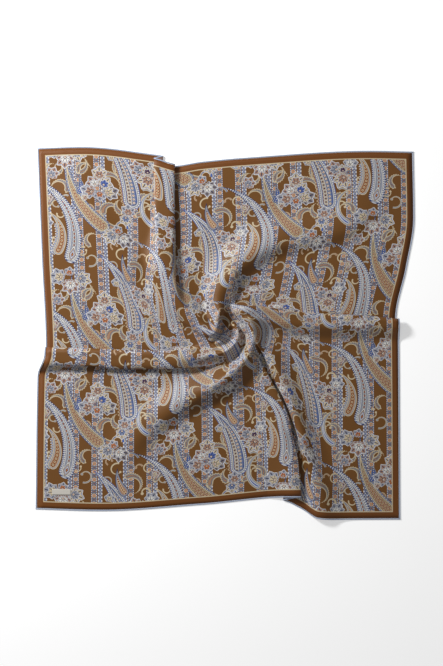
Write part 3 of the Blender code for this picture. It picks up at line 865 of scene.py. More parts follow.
class Network:
    """Adds nodes to a tree, each after the nodes that it reads."""

    ROWS = 8  # nodes in a column of the node editor
    SPACING = (220, 180)

    def __init__(self, tree):
        self.tree, self.count = tree, 0

    def node(self, kind, *values, **settings):
        """A new node with its settings, and with values for its first inputs."""
        node = self.tree.nodes.new(kind)
        for name, value in settings.items():
            setattr(node, name, value)
        column, row = divmod(self.count, self.ROWS)
        node.location = (self.SPACING[0] * column, -self.SPACING[1] * row)
        self.count += 1
        for socket, value in zip(node.inputs, values):
            self.feed(socket, value)
        return node

    def feed(self, socket, value):
        """Links a wire to a socket, or sets a plain value on it; a colour is given as the name of a dye."""
        if isinstance(value, Wire):
            self.tree.links.new(value.socket, socket)
        elif socket.type == "RGBA":
            socket.default_value = (*shade(value), 1.0)
        else:
            socket.default_value = value

    def math(self, operation, *values):
        """A Math node's value."""
        return Wire(self, self.node("ShaderNodeMath", *values, operation=operation).outputs[0])

    def vector(self, operation, *values):
        """A Vector Math node's vector."""
        return Wire(self, self.node("ShaderNodeVectorMath", *values, operation=operation).outputs[0])

    def distance(self, x, y):
        """How far a place is from the origin."""
        return self.math("SQRT", x * x + y * y)

    def rings(self, x, y, text):
        """Rings of colour about the origin, by their inner radii."""
        return self.distance(x, y).bands(text)

    def mix(self, factor, first, second):
        """The first colour where the factor is 0, and the second where it is 1."""
        node = self.node("ShaderNodeMix", data_type="RGBA", clamp_factor=True)
        for number, value in ((0, factor), (6, first), (7, second)):
            self.feed(node.inputs[number], value)
        return Wire(self, node.outputs[2])

    def place(self, name, *values):
        """Places a node group, with values for its inputs in their order, and gives its outputs."""
        node = self.node("ShaderNodeGroup", *values, node_tree=built_group(name))
        wires = [Wire(self, socket) for socket in node.outputs]
        return wires[0] if len(wires) == 1 else wires


BODIES = {}  # what each shader node group is built from: its inputs, its outputs and a function


def node_group(name, inputs, outputs):
    """Makes a function the body of a shader node group.

    inputs and outputs are words such as "f:Middle_U c:Petal": f for a value, c for a colour, _ for a space.
    """

    def keep(body):
        BODIES[name] = (inputs, outputs, body)
        return body

    return keep


def built_group(name):
    """The shader node group of that name, built once, where it is first placed."""
    if name in bpy.data.node_groups:
        return bpy.data.node_groups[name]
    inputs, outputs, body = BODIES[name]
    tree = bpy.data.node_groups.new(name, "ShaderNodeTree")
    for words, side in ((inputs, "INPUT"), (outputs, "OUTPUT")):
        for word in words.split():
            kind, label = word.split(":")
            tree.interface.new_socket(label.replace("_", " "), in_out=side, socket_type=SOCKETS[kind])
    net = Network(tree)
    entry = net.node("NodeGroupInput")
    net.node("NodeGroupOutput", *body(net, *[Wire(net, socket) for socket in entry.outputs[:-1]]))
    return tree


# ---------------------------------------------------------------- shader groups of the print
FILL = ("f:Along f:Across f:Depth", "c:Color f:Mask")  # sockets of what fills a drop
GARLAND = ("f:Across f:Along", "c:Color f:Mask")


@node_group("Half Drop Repeat", "f:U f:V f:Middle_U f:Middle_V", "f:X f:Y")
def half_drop(net, u, v, middle_u, middle_v):
    """Offset of a place from the nearest repeat of a motif's middle."""
    across = u - middle_u
    column = net.math("ROUND", across / COLUMN)
    return across - column * COLUMN, (v - middle_v + column * (REPEAT / 2)).cell(REPEAT)


@node_group(
    "Bent Drop",
    "f:X f:Y f:Centre_X f:Centre_Y f:Radius f:Start f:Way f:Length f:Bulb f:Swell",
    "f:Along f:Across f:Depth",
)
def bent_drop(net, x, y, centre_x, centre_y, radius, start, way, length, bulb, swell):
    """Length along a bent drop, distance to its outer side, and depth inside its outline.

    Its spine is an arc about a centre, from the middle of the round end to the tip. The outline is a circle
    and two flanks that close to a point, so that bands of equal depth run evenly round it.
    """
    x, y = x - centre_x, y - centre_y
    turned = net.math("WRAP", (net.math("ARCTAN2", y, x) - start) * way, TURN - BEHIND, -BEHIND)
    along = turned * radius
    across = net.distance(x, y) - radius
    side = abs(across)
    taper = bulb / length
    flat = net.math("SQRT", 1 - taper * taper)
    flank = bulb * (1 - net.math("POWER", net.math("MAXIMUM", along / length, 0.0), swell)) - side * flat
    round_end = bulb - net.distance(along, side)
    behind = along * flat < side * taper
    return along, across, flank + behind * (round_end - flank)


def lozenge(along, across, stretch):
    """Size of the lozenge through a place, stretched along the drop."""
    return abs(along) / stretch + abs(across)


@node_group("Comet Fill", *FILL)
def comet_fill(net, along, across, depth):
    """Beaded edge, feathered sides, a row of small lozenges and an ornate heart."""
    beads = net.mix(along.wave(step=5.6) > 0, "navy", "white")
    lines = depth.bands("0 navy, 1 white, 2.6 cobalt, 3.6 mist, 6.6 navy, 7.4 white, 8.8 steel, 9.8 mist")
    colour = net.mix(depth.between(1.0, 2.6), lines, beads)
    feathers = depth.between(3.6, 6.6) * (along.wave(step=5.0) > 0)
    colour = net.mix(feathers, colour, "white")
    spot = lozenge(along.cell(step=9.0), across, stretch=2.2)
    spots = spot.bands("0 orange, 1.2 navy, 2.4 white, 3.6 stone")
    colour = net.mix((depth > 9.8) * (spot < 4.2), colour, spots)
    heart = lozenge(along - 4, across, stretch=2.0)
    ornament = heart.bands("0 orange, 1.6 plum, 3.2 white, 4.6 cobalt, 6 cream, 7.2 plum, 8.6 white")
    return net.mix((depth > 6.6) * (heart < 9.8), colour, ornament), depth > 0


@node_group("Horn Fill", *FILL)
def horn_fill(net, along, across, depth):
    """Cream lines round a field of small florets, with a blue margin of rings outside."""
    margin = net.rings(along.cell(step=7.0), depth - 2.6, "0 white, 1.2 navy, 2.2 mist, 3.2 cobalt")
    step, apart = 8.4, 7.0
    row = net.math("ROUND", across / apart)
    florets = net.rings(
        (along + row * (step / 2)).cell(step),
        across - row * apart,
        "0 umber, 1.1 cream, 2.2 orange, 3 umber, 3.7 peach, 4.6 white",
    )
    lines = depth.bands("0 navy, 0.8 mist, 4.8 cream, 6.9 umber, 8 cream, 9.2 peach")
    colour = net.mix(depth.between(0.8, 4.8), lines, margin)
    return net.mix(depth > 8.8, colour, florets), depth > 0


@node_group("Drop Fill", *FILL)
def drop_fill(net, along, across, depth):
    """Beaded pale ring, a core that is warm on one side and cobalt on the other, and a flamed fringe."""
    lines = depth.bands("0 cobalt, 1.4 mist, 4.4 navy, 5.4 white, 6.8 steel, 8.6 navy, 9.4 cream")
    beads = net.mix(along.wave(step=4.8) > 0, "mist", "white")
    colour = net.mix(depth.between(1.4, 4.4), lines, beads)
    step = 8.4
    warm = net.rings(along.cell(step), across + 4.6, "0 plum, 2 cream, 3 stone, 3.8 white, 4.8 peach")
    halfway = (along + step / 2).cell(step)
    cool = net.rings(halfway, across - 4.4, "0 orange, 1.4 white, 2.6 navy, 3.6 mist, 4.6 cobalt")
    colour = net.mix(depth > 9.4, colour, net.mix(across > 0, warm, cool))
    fringe = (along.scallops(step=18.0, height=5.0) + 1.0) * (along < FRINGE_REACH)
    flames = (depth + fringe).bands("0 cream, 1.4 peach, 3 umber, 4 peach")
    return net.mix(depth < 0, colour, flames), depth > -fringe * (across < 0)


@node_group("Sprig Fill", *FILL)
def sprig_fill(net, along, across, depth):
    """A small drop: navy outline, pale ring and a dotted cream core."""
    lines = depth.bands("0 navy, 1.2 mist, 3.2 steel, 4 cream")
    dots = net.rings(along.cell(step=5.6), across, "0 umber, 1.2 orange, 2 cream, 3.2 peach")
    return net.mix(depth > 4.0, lines, dots), depth > 0


@node_group("Crescent Fill", *FILL)
def crescent_fill(net, along, across, depth):
    """Cream lines round a row of orange rings, with lobes along the inner side."""
    fringe = (along.scallops(step=15.0, height=5.4) + 1.6) * (along < CRESCENT_REACH)
    lines = depth.bands("0 cream, 1.8 steel, 3.2 cream, 4.4 orange")
    rings = net.rings(along.cell(step=8.0), across, "0 umber, 1.2 cream, 2.4 orange, 3.4 umber, 4.4 peach")
    lobes = (depth + fringe).bands("0 white, 1.8 cobalt, 3 mist")
    colour = net.mix(depth > 4.4, lines, rings)
    return net.mix(depth < 0, colour, lobes), depth > -fringe * (across < 0)


@node_group("Bud Fill", *FILL)
def bud_fill(net, along, across, depth):
    """A pale line round a cobalt core with white dots."""
    lines = depth.bands("0 mist, 1.4 navy, 2.2 cobalt")
    dots = net.rings(along.cell(step=4.6), across.cell(step=4.6), "0 white, 1 navy, 1.8 cobalt")
    return net.mix(depth > 2.2, lines, dots), depth > 0


@node_group("Leaf Fill", *FILL)
def leaf_fill(net, along, across, depth):
    """A curled leaf: cream edge, pale flesh and a dark vein, with a notched outer side."""
    inside = depth + along.scallops(step=9.0, height=2.0) * (across > 0) * (depth > -2.4)
    return inside.bands("0 cream, 1.8 stone, 2.8 mist, 4 umber, 4.8 peach"), inside > 0


@node_group("Scroll Fill", *FILL)
def scroll_fill(net, along, across, depth):
    """A ribbed blue-grey scroll with beads along its inner side."""
    inside = depth + along.scallops(step=5.2, height=1.6) * (across < 0)
    return inside.bands("0 cream, 1.4 mist, 2.8 steel, 3.7 white, 5.2 cobalt"), inside > 0


@node_group("Scrolling Stem", "f:X f:Y f:Radius f:Growth f:Start f:Way f:Turn f:Width", "f:Depth")
def stem(net, x, y, radius, growth, start, way, turn, width):
    """How far a place is inside an arc that narrows along its turn and ends in a bud."""
    turned = net.math("WRAP", (net.math("ARCTAN2", y, x) - start) * way, TURN, 0.0)
    share = turned / turn
    inside = width * (1 - share * STEM_TAPER) - abs(net.distance(x, y) - radius - growth * share)
    end = start + way * turn
    last = radius + growth
    from_end = net.distance(x - net.math("COSINE", end) * last, y - net.math("SINE", end) * last)
    return [net.math("MAXIMUM", inside - (share > 1) * PAST_END, width * STEM_BUD - from_end)]


def petal_ring(net, reach, angle, half, fill):
    """A ring of pointed petals with pale rims and a vein, and how far inside one of them a place is."""
    sector = net.math("WRAP", angle, half, -half)
    out = reach * net.math("COSINE", sector) * 2 - 1
    aside = abs(reach * net.math("SINE", sector)) / (net.math("TANGENT", half) * PETAL_WIDTH)
    inside = (1 - out * out) * net.math("MAXIMUM", 1 - out * PETAL_TAPER, 1 - PETAL_TAPER) - aside
    rim = (inside * FLOWER_DEPTHS).bands("0 white, 4 cobalt, 6.6 cream")
    colour = net.mix(inside > PETAL_RIM, rim, fill)
    return net.mix((aside < VEIN_WIDTH) * (inside > VEIN_END), colour, "navy"), inside


@node_group("Flower Head", "f:X f:Y f:Size f:Petals f:Turn c:Petal c:Heart", "c:Color f:Mask")
def flower_head(net, x, y, size, petals, turn, petal, heart):
    """A flower that leans one way: two rings of pointed petals about a small heart."""
    angle = net.math("ARCTAN2", y, x) - turn
    lean = net.math("COSINE", angle) * FLOWER_LEAN + (1 - FLOWER_LEAN)
    reach = net.distance(x, y) / (size * lean)
    half = math.pi / petals
    outer, outer_depth = petal_ring(net, reach, angle, half, petal)
    inner, inner_depth = petal_ring(net, reach / INNER_PETALS, angle + half, half, heart)
    colour = net.mix(inner_depth > 0, outer, inner)
    eye = (reach * FLOWER_DEPTHS).bands("0 orange, 1.4 white, 2.4 umber")
    colour = net.mix(reach < HEART_REACH, colour, eye)
    return colour, net.math("MAXIMUM", outer_depth > 0, inner_depth > 0)


@node_group("Rosette Garland", *GARLAND)
def rosette_garland(net, across, along):
    """A band of warm and cool rosettes in turn between beaded edges."""
    step = 19.0
    nearest, halfway = along.cell(step), (along + step / 2).cell(step)
    warm = net.rings(across, nearest, "0 navy, 1 cream, 1.9 orange, 3.9 white, 4.7 umber, 5.4 stone")
    cool = net.rings(across, halfway, "0 orange, 1.1 navy, 2.2 mist, 3.4 navy, 4.2 stone")
    colour = net.mix(abs(nearest) > step / 4, warm, cool)
    beads = net.mix(along.wave(step=5.2) > 0, "cobalt", "white")
    edge = abs(across)
    return net.mix(edge > 4.9, colour, beads), edge < 6.4


@node_group("Scalloped Garland", *GARLAND)
def scalloped_garland(net, across, along):
    """A narrow pale band with scalloped edges and cobalt rings."""
    colour = net.rings(across, along.cell(step=8.6), "0 white, 1.2 navy, 2.3 mist, 3.4 cobalt, 4.3 white")
    return colour, abs(across) < along.scallops(step=17.2, height=1.4) + 3.7


def arc_through(bulb, middle, tip):
    """Centre, radius, start angle, way (1 or -1) and length of the arc from bulb to tip by way of middle."""
    (ax, ay), (bx, by), (cx, cy) = bulb, middle, tip
    doubled = 2 * (ax * (by - cy) + bx * (cy - ay) + cx * (ay - by))
    a, b, c = ax * ax + ay * ay, bx * bx + by * by, cx * cx + cy * cy
    x = (a * (by - cy) + b * (cy - ay) + c * (ay - by)) / doubled
    y = (a * (cx - bx) + b * (ax - cx) + c * (bx - ax)) / doubled
    radius = math.hypot(ax - x, ay - y)
    start, end = math.atan2(ay - y, ax - x), math.atan2(cy - y, cx - x)
    way = 1.0 if doubled > 0 else -1.0
    return (x, y), radius, start, way, (end - start) * way % TURN * radius


def stem_over(net, u, v, colour, row):
    """The colour of the cloth with one of the stems drawn over it."""
    offset = net.place("Half Drop Repeat", u, v, row["u"], row["v"])
    turn = (math.radians(row["start"]), math.copysign(1.0, row["turn"]), math.radians(abs(row["turn"])))
    depth = net.place("Scrolling Stem", *offset, row["radius"], row["growth"], *turn, row["width"])
    return net.mix(depth > 0, colour, net.mix(depth > row["width"] * STEM_CORE, "cream", row["tint"]))


def drop_over(net, u, v, colour, row):
    """The colour of the cloth with one of the drops drawn over it."""
    bulb, middle, tip = ((row[end + "_u"], row[end + "_v"]) for end in ("bulb", "mid", "tip"))
    (centre_u, centre_v), *arc = arc_through(bulb, middle, tip)
    offset = net.place("Half Drop Repeat", u, v, *middle)
    centre = (centre_u - middle[0], centre_v - middle[1])
    places = net.place("Bent Drop", *offset, *centre, *arc, row["radius"], row["swell"])
    fill, mask = net.place(row["fill"] + " Fill", *places)
    return net.mix(mask, colour, fill)


def flower_over(net, u, v, colour, row):
    """The colour of the cloth with one of the flowers drawn over it."""
    offset = net.place("Half Drop Repeat", u, v, row["u"], row["v"])
    petals = (row["size"], row["petals"], math.radians(row["turn"]), row["petal"], row["heart"])
    head, mask = net.place("Flower Head", *offset, *petals)
    return net.mix(mask, colour, head)


@node_group("Paisley Print", "f:U f:V", "c:Color")
def print_colour(net, u, v):
    """The print at a place of the flat square, in millimetres from its middle."""
    edge = net.math("MAXIMUM", abs(u), abs(v))
    v = (v - SQUEEZE_V) * SQUEEZE + SQUEEZE_V
    colour = "bronze"
    for row in GARLANDS:
        band, mask = net.place(row["kind"] + " Garland", (u - row["u"]).cell(GARLAND_STEP), v)
        colour = net.mix(mask, colour, band)
    for motifs, drawn_over in ((STEMS, stem_over), (DROPS, drop_over), (FLOWERS, flower_over)):
        for row in motifs:
            colour = drawn_over(net, u, v, colour, row)
    border = net.mix(edge > FIELD_EDGE + EDGE_LINE / 2, "cream", "brown")
    return [net.mix(edge > FIELD_EDGE - EDGE_LINE / 2, colour, border)]


# ---------------------------------------------------------------- materials
TWILL_PITCH = 0.9  # of the diagonal ribs, in millimetres
TWILL_DEPTH = 0.03  # of their relief
TWILL_ROUGHNESS = 0.5
REVERSE_FADE = 0.25  # share by which the print is paler on the reverse
CROSS_PITCH = 2.3  # of the threads across a weave's ribs, in the ribs' own pitch
CROSS_HEIGHT = 0.4  # of those threads, in the ribs' own height
PAINTED_WEAVE_SHADING = 0.35  # painted highlight and shade of a plain cloth's weave: share of the way from its mean colour towards its light one on the ribs and its dark one in the hollows
SATIN = {"Specular IOR Level": 0.35, "Sheen Weight": 0.08, "Sheen Roughness": 0.4}
# Plain cloths and threads: their colours on the ribs and in the hollows, which mix evenly into the cloth's
# own colour, with the ribs lighter as painted highlight and the hollows darker as painted shade, and the
# ribs' pitch and depth.
PLAIN_CLOTHS = {
    "rolled hem": {"light": "ice", "dark": "slate", "pitch": 1.4, "depth": 0.04, "roughness": 0.45},
    "hem thread": {"light": "white", "dark": "slate", "pitch": 0.5, "depth": 0.02, "roughness": 0.5},
    "woven label": {"light": "ivory", "dark": "sand", "pitch": 0.8, "depth": 0.04, "roughness": 0.6},
    "label thread": {"light": "ivory", "dark": "sand", "pitch": 0.4, "depth": 0.02, "roughness": 0.6},
}


@node_group("Weave Relief", "f:Along f:Across f:Pitch", "f:Height")
def weave_height(net, along, across, pitch):
    """Height of a weave: ribs along one direction, with wider and lower threads across them."""
    return [along.wave(pitch) + across.wave(pitch * CROSS_PITCH) * CROSS_HEIGHT]


def new_material(name):
    """A material, with its shader and its network."""
    material = bpy.data.materials.new(name)
    material.use_nodes = True
    return material, material.node_tree.nodes["Principled BSDF"], Network(material.node_tree)


def set_inputs(node, values):
    """Sets plain values on a node's inputs, by their names."""
    for name, value in values.items():
        node.inputs[name].default_value = value


def flat_place(net):
    """Place on the flat square, in millimetres from its middle."""
    uv = Wire(net, net.node("ShaderNodeUVMap", uv_map=FLAT_MAP).outputs[0])
    middle = net.vector("SUBTRACT", uv, (0.5, 0.5, 0.5))
    node = net.node("ShaderNodeSeparateXYZ", net.vector("MULTIPLY", middle, (SIDE, SIDE, 0)))
    return Wire(net, node.outputs[0]), Wire(net, node.outputs[1])


def finish_cloth(net, shader, colour, height, depth, roughness):
    """Gives a cloth's shader its colour, its satin surface and the relief of its weave."""
    net.feed(shader.inputs["Base Color"], colour)
    bump = net.node("ShaderNodeBump")
    set_inputs(bump, {"Strength": 1.0, "Distance": depth * MM})
    net.feed(bump.inputs["Height"], height)
    net.feed(shader.inputs["Normal"], Wire(net, bump.outputs[0]))
    set_inputs(shader, {"Roughness": roughness, **SATIN})


def twill_material(name, fade):
    """Printed silk twill: the print, faded by a share, on a fine diagonal weave with a satin sheen."""
    material, shader, net = new_material(name)
    u, v = flat_place(net)
    colour = net.mix(fade, net.place("Paisley Print", u, v), "mist")
    height = net.place("Weave Relief", u + v, u - v, TWILL_PITCH)
    finish_cloth(net, shader, colour, height, TWILL_DEPTH, TWILL_ROUGHNESS)
    return material


def plain_cloth(name):
    """Plain dyed cloth or thread: a weave over the piece's flat map, darker in its hollows as painted shade
    and lighter on its ribs as painted highlight.
    """
    material, shader, net = new_material(name)
    weave_and_shading = PLAIN_CLOTHS[name]
    height = net.place("Weave Relief", *flat_place(net), weave_and_shading["pitch"])
    # Painted highlight and shade: the colour leans to the light one on the weave's ribs and to the dark one
    # in its hollows.
    colour = net.mix(height * PAINTED_WEAVE_SHADING + 0.5, weave_and_shading["dark"], weave_and_shading["light"])
    finish_cloth(net, shader, colour, height, weave_and_shading["depth"], weave_and_shading["roughness"])
    return material


# ---------------------------------------------------------------- hems and stitches
def edge_line(name):
    """Points along one side of the panel, evenly spaced on the flat cloth, and those just inside them."""
    side = 0.0 if name in ("left", "bottom") else 3.0
    upright = name in ("left", "right")

    def line(place, shares):
        beside = np.full_like(shares, place)
        return cloth(beside, shares) if upright else cloth(shares, beside)

    shares = np.linspace(0, 3, EDGE_SAMPLES)
    flat = line(side, shares)[1][:, int(upright)]
    shares = np.interp(np.linspace(-EDGE, EDGE, HEM_RINGS), flat, shares)
    return line(side, shares)[0], line(abs(side - EDGE_STEP), shares)[0]


def hem_frame(name, width, height):
    """Middle line of a hem's roll, its outward direction and its upward one."""
    edge, inner = edge_line(name)
    outward = unit(edge - inner)
    up = unit(np.cross(np.gradient(edge, axis=0), outward))
    up *= np.sign(up[0, 2])
    centre = edge + outward * (SEAM + width / 2) + up * (height / 2 - REST)
    if name in ("bottom", "top"):
        for end, beside in ((0, 1), (-1, -2)):
            centre[end] += (SEAM + width) * unit(centre[end] - centre[beside])
    return centre, outward, up


def threads(paths, away):
    """Points and faces of short round threads along paths[thread, step]; away points off the cloth."""
    ahead = unit(np.gradient(paths, axis=1))
    aside = unit(np.cross(ahead, away))
    away = np.cross(aside, ahead)
    turns = np.arange(THREAD_SIDES) * TURN / THREAD_SIDES
    radius = np.full(paths.shape[1], THREAD)
    radius[[0, -1]] *= THREAD_TIP
    ring = aside[..., None, :] * np.cos(turns)[:, None] + away[..., None, :] * np.sin(turns)[:, None]
    points = paths[..., None, :] + ring * radius[:, None, None]
    number = np.arange(points[..., 0].size).reshape(points.shape[:3])
    after = np.roll(number, -1, axis=2)
    quads = np.stack([number[:, :-1], number[:, 1:], after[:, 1:], after[:, :-1]], -1).reshape(-1, 4)
    ends = np.concatenate([number[:, 0], number[:, -1, ::-1]])
    return points.reshape(-1, 3), quads.tolist() + ends.tolist()


def oval(outward, up, out, high, turns):
    """Offsets to an oval round a roll, of half width out and half height high, by angle from outside."""
    return outward[:, None] * (out * np.cos(turns))[:, None] + up[:, None] * (high * np.sin(turns))[:, None]


def hem_stitches(centre, outward, up, width, height):
    """Slanted stitches over the inner side of a hem's roll."""
    rings = np.arange(RINGS_A_STITCH, HEM_RINGS - 1, RINGS_A_STITCH)
    turns = np.linspace(*STITCH_TURNS, STITCH_STEPS) * math.pi
    shift = np.linspace(-STITCH_SLANT, STITCH_SLANT, STITCH_STEPS)[:, None]
    along = unit(np.gradient(centre, axis=0))[rings, None]
    pinched = (1 - HEM_PINCH) / (1 + HEM_PINCH) / 2
    out, high = width * pinched + THREAD / 2, height * pinched + THREAD / 2
    paths = centre[rings, None] + along * shift + oval(outward[rings], up[rings], out, high, turns)
    return threads(paths, oval(outward[rings], up[rings], 1, 1, turns))


def hem_roll(centre, outward, up, width, height):
    """Points and faces of a hem's roll, pinched a little at each stitch."""
    turns = np.arange(HEM_SIDES) * TURN / HEM_SIDES
    pinch = 1 - HEM_PINCH * np.cos(np.arange(HEM_RINGS) * TURN / RINGS_A_STITCH)[:, None, None]
    pinch[0] = pinch[-1] = 1
    rings = centre[:, None] + oval(outward, up, width / 2, height / 2, turns) * pinch / (1 + HEM_PINCH)
    near = np.arange(HEM_RINGS - 1)[:, None] * HEM_SIDES
    side, after = np.arange(HEM_SIDES), (np.arange(HEM_SIDES) + 1) % HEM_SIDES
    quads = np.stack([near + side, near + after, near + HEM_SIDES + after, near + HEM_SIDES + side], -1)
    last = (HEM_RINGS - 1) * HEM_SIDES
    ends = [list(range(HEM_SIDES))[::-1], list(range(last, last + HEM_SIDES))]
    return rings.reshape(-1, 3), quads.reshape(-1, 4).tolist() + ends


def make_hem(name, sizes, materials):
    """One side's rolled hem, with the thread that holds it in the second material."""
    width, height = sizes.hem_width / MM, sizes.hem_height / MM
    line = hem_frame(name, width, height)
    roll, roll_faces = hem_roll(*line, width, height)
    thread, thread_faces = hem_stitches(*line, width, height)
    faces = roll_faces + [[len(roll) + corner for corner in face] for face in thread_faces]
    hem = new_object("rolled_hem_" + name, np.concatenate([roll, thread]), faces, materials)
    kinds = np.repeat([0, 1], [len(roll_faces), len(thread_faces)])
    hem.data.polygons.foreach_set("material_index", kinds)
    give_roll_map(hem.data, width)
    return hem


def give_roll_map(mesh, width):
    """Map of a roll: along it and round it, in the same measure as the flat square's map."""
    corners = corner_points(mesh)
    along = (corners // HEM_SIDES) / (HEM_RINGS - 1)
    round_roll = np.sin(corners % HEM_SIDES * TURN / HEM_SIDES) * width / SIDE
    give_map(mesh, FLAT_MAP, np.stack([along, round_roll], -1))


def over_cloth(place, rise):
    """The point that stands so far above the cloth at a flat place of the lower left panel."""
    p, q = (np.array([share]) for share in share_of_flat(*place))
    return cloth(p, q)[0][0] + np.array([0, 0, WALL / 2 + rise])


def label_stitches(width, depth, wall):
    """Points and faces of the stitches across the label's edge, all round it."""
    paths = []
    for outward, reach, run in (((1, 0), width / 2, depth / 2), ((0, 1), depth / 2, width / 2)):
        outward = np.array(outward)
        for way in (1, -1):
            for step in np.linspace(-run, run, round(2 * run / LABEL_STITCH))[1:-1]:
                beside = np.array([LABEL["u"], LABEL["v"]]) + step * outward[::-1]
                path = [
                    over_cloth(beside + way * (reach + out) * outward, rise * (LABEL_GAP + wall))
                    for out, rise in LABEL_STITCH_PATH
                ]
                paths.append(path)
    paths = np.array(paths)
    return threads(paths, np.broadcast_to(np.array([0.0, 0.0, 1.0]), paths.shape))


# ---------------------------------------------------------------- sizes and dyes that a user may change
FLOOR_SIDE = 60.0  # metres


def colour_property(name, description, *rgb):
    """A colour, given in 0 to 255 a channel."""
    return bpy.props.FloatVectorProperty(
        name=name, description=description, default=srgb(*rgb), subtype="COLOR", size=3, min=0, max=1
    )


def length_property(name, description, millimetres):
    """A length."""
    return bpy.props.FloatProperty(
        name=name,
        description=description,
        default=millimetres * MM,
        min=0,
        precision=4,
        subtype="DISTANCE",
        unit="LENGTH",
    )


class SCARF_PG_colours(bpy.types.PropertyGroup):
    """Dyes of the print, the hems and the label, with the colours of the painted highlight and shade in the
    weave of the hems and the label
    """

    bronze: colour_property("Bronze", "Ground of the field", 114, 74, 30)
    brown: colour_property("Brown", "Border band", 115, 67, 22)
    umber: colour_property("Umber", "Dark lines inside warm motifs", 68, 43, 28)
    cream: colour_property("Cream", "Lines and leaf edges", 204, 187, 155)
    white: colour_property("White", "Beads and petal rims", 223, 220, 213)
    mist: colour_property("Mist", "Pale blue-grey of the paisleys", 145, 148, 158)
    steel: colour_property("Steel", "Deeper blue-grey", 114, 127, 160)
    cobalt: colour_property("Cobalt", "Bright blue spots and margins", 76, 100, 164)
    navy: colour_property("Navy", "Outlines", 40, 43, 82)
    peach: colour_property("Peach", "Warm fields inside the motifs", 168, 130, 104)
    orange: colour_property("Orange", "Warm spots and rings", 186, 112, 54)
    plum: colour_property("Plum", "Accents in the drops and flowers", 81, 49, 68)
    # Ice and slate mix evenly into the hem's own colour; the weave's ribs lean to ice as painted highlight
    # and its hollows to slate as painted shade.
    ice: colour_property("Ice", "Hem, light", 192, 203, 222)
    slate: colour_property("Slate", "Hem and its thread, in the hollows", 127, 140, 168)
    # Ivory and sand mix evenly into the label's own colour; its ribs lean to ivory as painted highlight and
    # its hollows to sand as painted shade.
    ivory: colour_property("Ivory", "Label, light", 226, 221, 212)
    sand: colour_property("Sand", "Label, in the hollows", 188, 182, 172)
    stone: colour_property("Stone", "Ground of the garlands", 122, 112, 107)


class SCARF_PG_sizes(bpy.types.PropertyGroup):
    """Sizes of the cloth, its trims and the floor"""

    wall: length_property("Cloth", "Thickness of the cloth", WALL)
    hem_width: length_property("Hem Width", "Width of the rolled hem", HEM)
    hem_height: length_property("Hem Height", "Thickness of the rolled hem", HEM_HEIGHT)
    label_width: length_property("Label Width", "Length of the label", LABEL["width"])
    label_depth: length_property("Label Depth", "Width of the label", LABEL["depth"])
    label_wall: length_property("Label Thickness", "Thickness of the label", LABEL_WALL)
    floor: length_property("Floor", "Side of the floor", FLOOR_SIDE / MM)


# ---------------------------------------------------------------- operators of the pieces
class SCARF_OT_add_panel(bpy.types.Operator):
    """Adds the printed twill square, twisted as it lies"""

    bl_idname = "scarf.add_panel"
    bl_label = "Printed Square"

    def execute(self, context):
        shares = line_shares()
        q, p = np.meshgrid(shares, shares, indexing="ij")
        points, flat = cloth(p, q)
        materials = [twill_material("printed twill", 0.0), twill_material("twill reverse", REVERSE_FADE)]
        wall = context.scene.scarf_sizes.wall / MM
        panel = make_shell("silk_twill", creased(settled(points)), flat, wall, materials)
        fit(panel, "printed_twill", "twill_panel")
        return {"FINISHED"}


class SCARF_OT_add_hems(bpy.types.Operator):
    """Adds the four rolled hems and their stitches"""

    bl_idname = "scarf.add_hems"
    bl_label = "Rolled Hems"

    def execute(self, context):
        materials = [plain_cloth("rolled hem"), plain_cloth("hem thread")]
        for side in SIDES:
            fit(make_hem(side, context.scene.scarf_sizes, materials), "rolled_hem", "hem_" + side)
        return {"FINISHED"}


class SCARF_OT_add_label(bpy.types.Operator):
    """Adds the bare woven label and the stitches round it"""

    bl_idname = "scarf.add_label"
    bl_label = "Woven Label"

    def execute(self, context):
        sizes = context.scene.scarf_sizes
        width, depth, wall = (size / MM for size in (sizes.label_width, sizes.label_depth, sizes.label_wall))
        centre = share_of_flat(LABEL["u"], LABEL["v"])
        corner = share_of_flat(LABEL["u"] + width / 2, LABEL["v"] + depth / 2)
        across, upward = (
            middle + (end - middle) * np.linspace(-1, 1, cells + 1)
            for middle, end, cells in zip(centre, corner, LABEL_CELLS)
        )
        q, p = np.meshgrid(upward, across, indexing="ij")
        points, flat = cloth(p, q)
        points += sheet_normals(points) * (WALL / 2 + LABEL_GAP + wall / 2)
        label = make_shell("bare_label", points, flat, wall, [plain_cloth("woven label")])
        fit(label, "woven_label", "corner_label")
        thread = plain_cloth("label thread")
        stitches = new_object("label_stitches", *label_stitches(width, depth, wall), [thread])
        stitches.data.uv_layers.new(name=FLAT_MAP)
        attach(stitches, "root")
        return {"FINISHED"}


# ---------------------------------------------------------------- studio
CAMERA_LENS = 85.0
SENSOR = 36.0
VIEW_HEIGHT = 1.4985  # metres of the floor from the top to the bottom of the picture
VIEW_MIDDLE = (-0.0076, 0.0008)
FLOOR_DROP = -0.0002
PAPER = {"Base Color": (0.92, 0.92, 0.92, 1), "Roughness": 0.8}
PAPER_GLOW = {"Emission Color": (1, 1, 1, 1), "Emission Strength": 0.38}
KEY_PLACE = (-1.45, 1.1, 1.15)
KEY_AIM = (-0.1, 0.1, 0.0)
KEY_SIZE = 0.45
KEY_POWER = 49.0  # watts
FILL_LIGHT = {"Color": (1, 1, 1, 1), "Strength": 0.25}


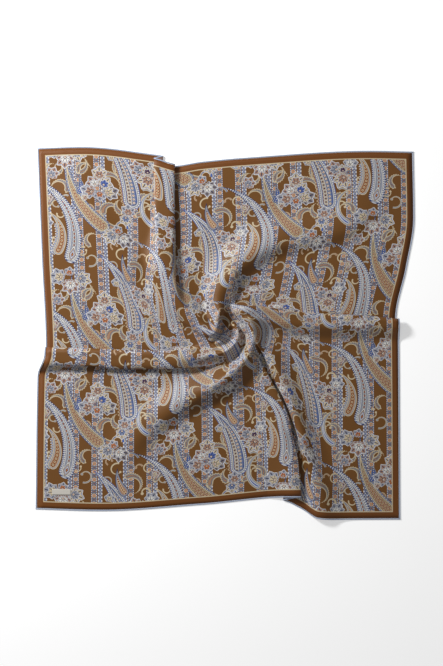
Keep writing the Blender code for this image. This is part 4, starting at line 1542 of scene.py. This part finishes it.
class SCARF_OT_add_studio(bpy.types.Operator):
    """Adds the pale floor, the soft lights and the camera"""

    bl_idname = "scarf.add_studio"
    bl_label = "Studio"

    def execute(self, context):
        scene = context.scene
        half = scene.scarf_sizes.floor / MM / 2
        corners = [(-half, -half, 0), (half, -half, 0), (half, half, 0), (-half, half, 0)]
        paper, shader, _ = new_material("pale floor")
        set_inputs(shader, {**PAPER, **PAPER_GLOW})
        floor = new_object("floor", corners, [(0, 1, 2, 3)], [paper])
        floor.location.z = FLOOR_DROP
        scene.camera = linked("camera", bpy.data.cameras.new("camera"))
        scene.camera.data.lens = CAMERA_LENS
        scene.camera.data.sensor_width = SENSOR
        scene.camera.location = (*VIEW_MIDDLE, VIEW_HEIGHT * CAMERA_LENS / SENSOR)
        key = linked("key", bpy.data.lights.new("key", "AREA"))
        key.data.energy = KEY_POWER
        key.data.size = KEY_SIZE
        key.location = KEY_PLACE
        key.rotation_euler = (Vector(KEY_AIM) - key.location).to_track_quat("-Z", "Y").to_euler()
        scene.world = bpy.data.worlds.new("studio")
        scene.world.use_nodes = True
        set_inputs(scene.world.node_tree.nodes["Background"], FILL_LIGHT)
        scene.view_settings.view_transform = "Standard"
        return {"FINISHED"}


# ---------------------------------------------------------------- add-on
class SCARF_PT_tools(bpy.types.Panel):
    """Lists the scarf's pieces, sizes and dyes"""

    bl_idname = "SCARF_PT_tools"
    bl_label = "Silk Square Scarf"
    bl_space_type = "VIEW_3D"
    bl_region_type = "UI"
    bl_category = "Scarf"

    def draw(self, context):
        for operator in OPERATORS:
            self.layout.operator(operator.bl_idname)
        for group in (context.scene.scarf_sizes, context.scene.scarf_colours):
            box = self.layout.box()
            for name in group.__annotations__:
                box.prop(group, name)


OPERATORS = (SCARF_OT_add_panel, SCARF_OT_add_hems, SCARF_OT_add_label, SCARF_OT_add_studio)
CLASSES = (SCARF_PG_sizes, SCARF_PG_colours, *OPERATORS, SCARF_PT_tools)


def register():
    for cls in CLASSES:
        bpy.utils.register_class(cls)
    bpy.types.Scene.scarf_sizes = bpy.props.PointerProperty(type=SCARF_PG_sizes)
    bpy.types.Scene.scarf_colours = bpy.props.PointerProperty(type=SCARF_PG_colours)


def unregister():
    del bpy.types.Scene.scarf_colours
    del bpy.types.Scene.scarf_sizes
    for cls in reversed(CLASSES):
        bpy.utils.unregister_class(cls)


def main():
    register()
    bpy.ops.scarf.add_panel()
    bpy.ops.scarf.add_hems()
    bpy.ops.scarf.add_label()
    bpy.ops.scarf.add_studio()


if __name__ == "__main__":
    main()
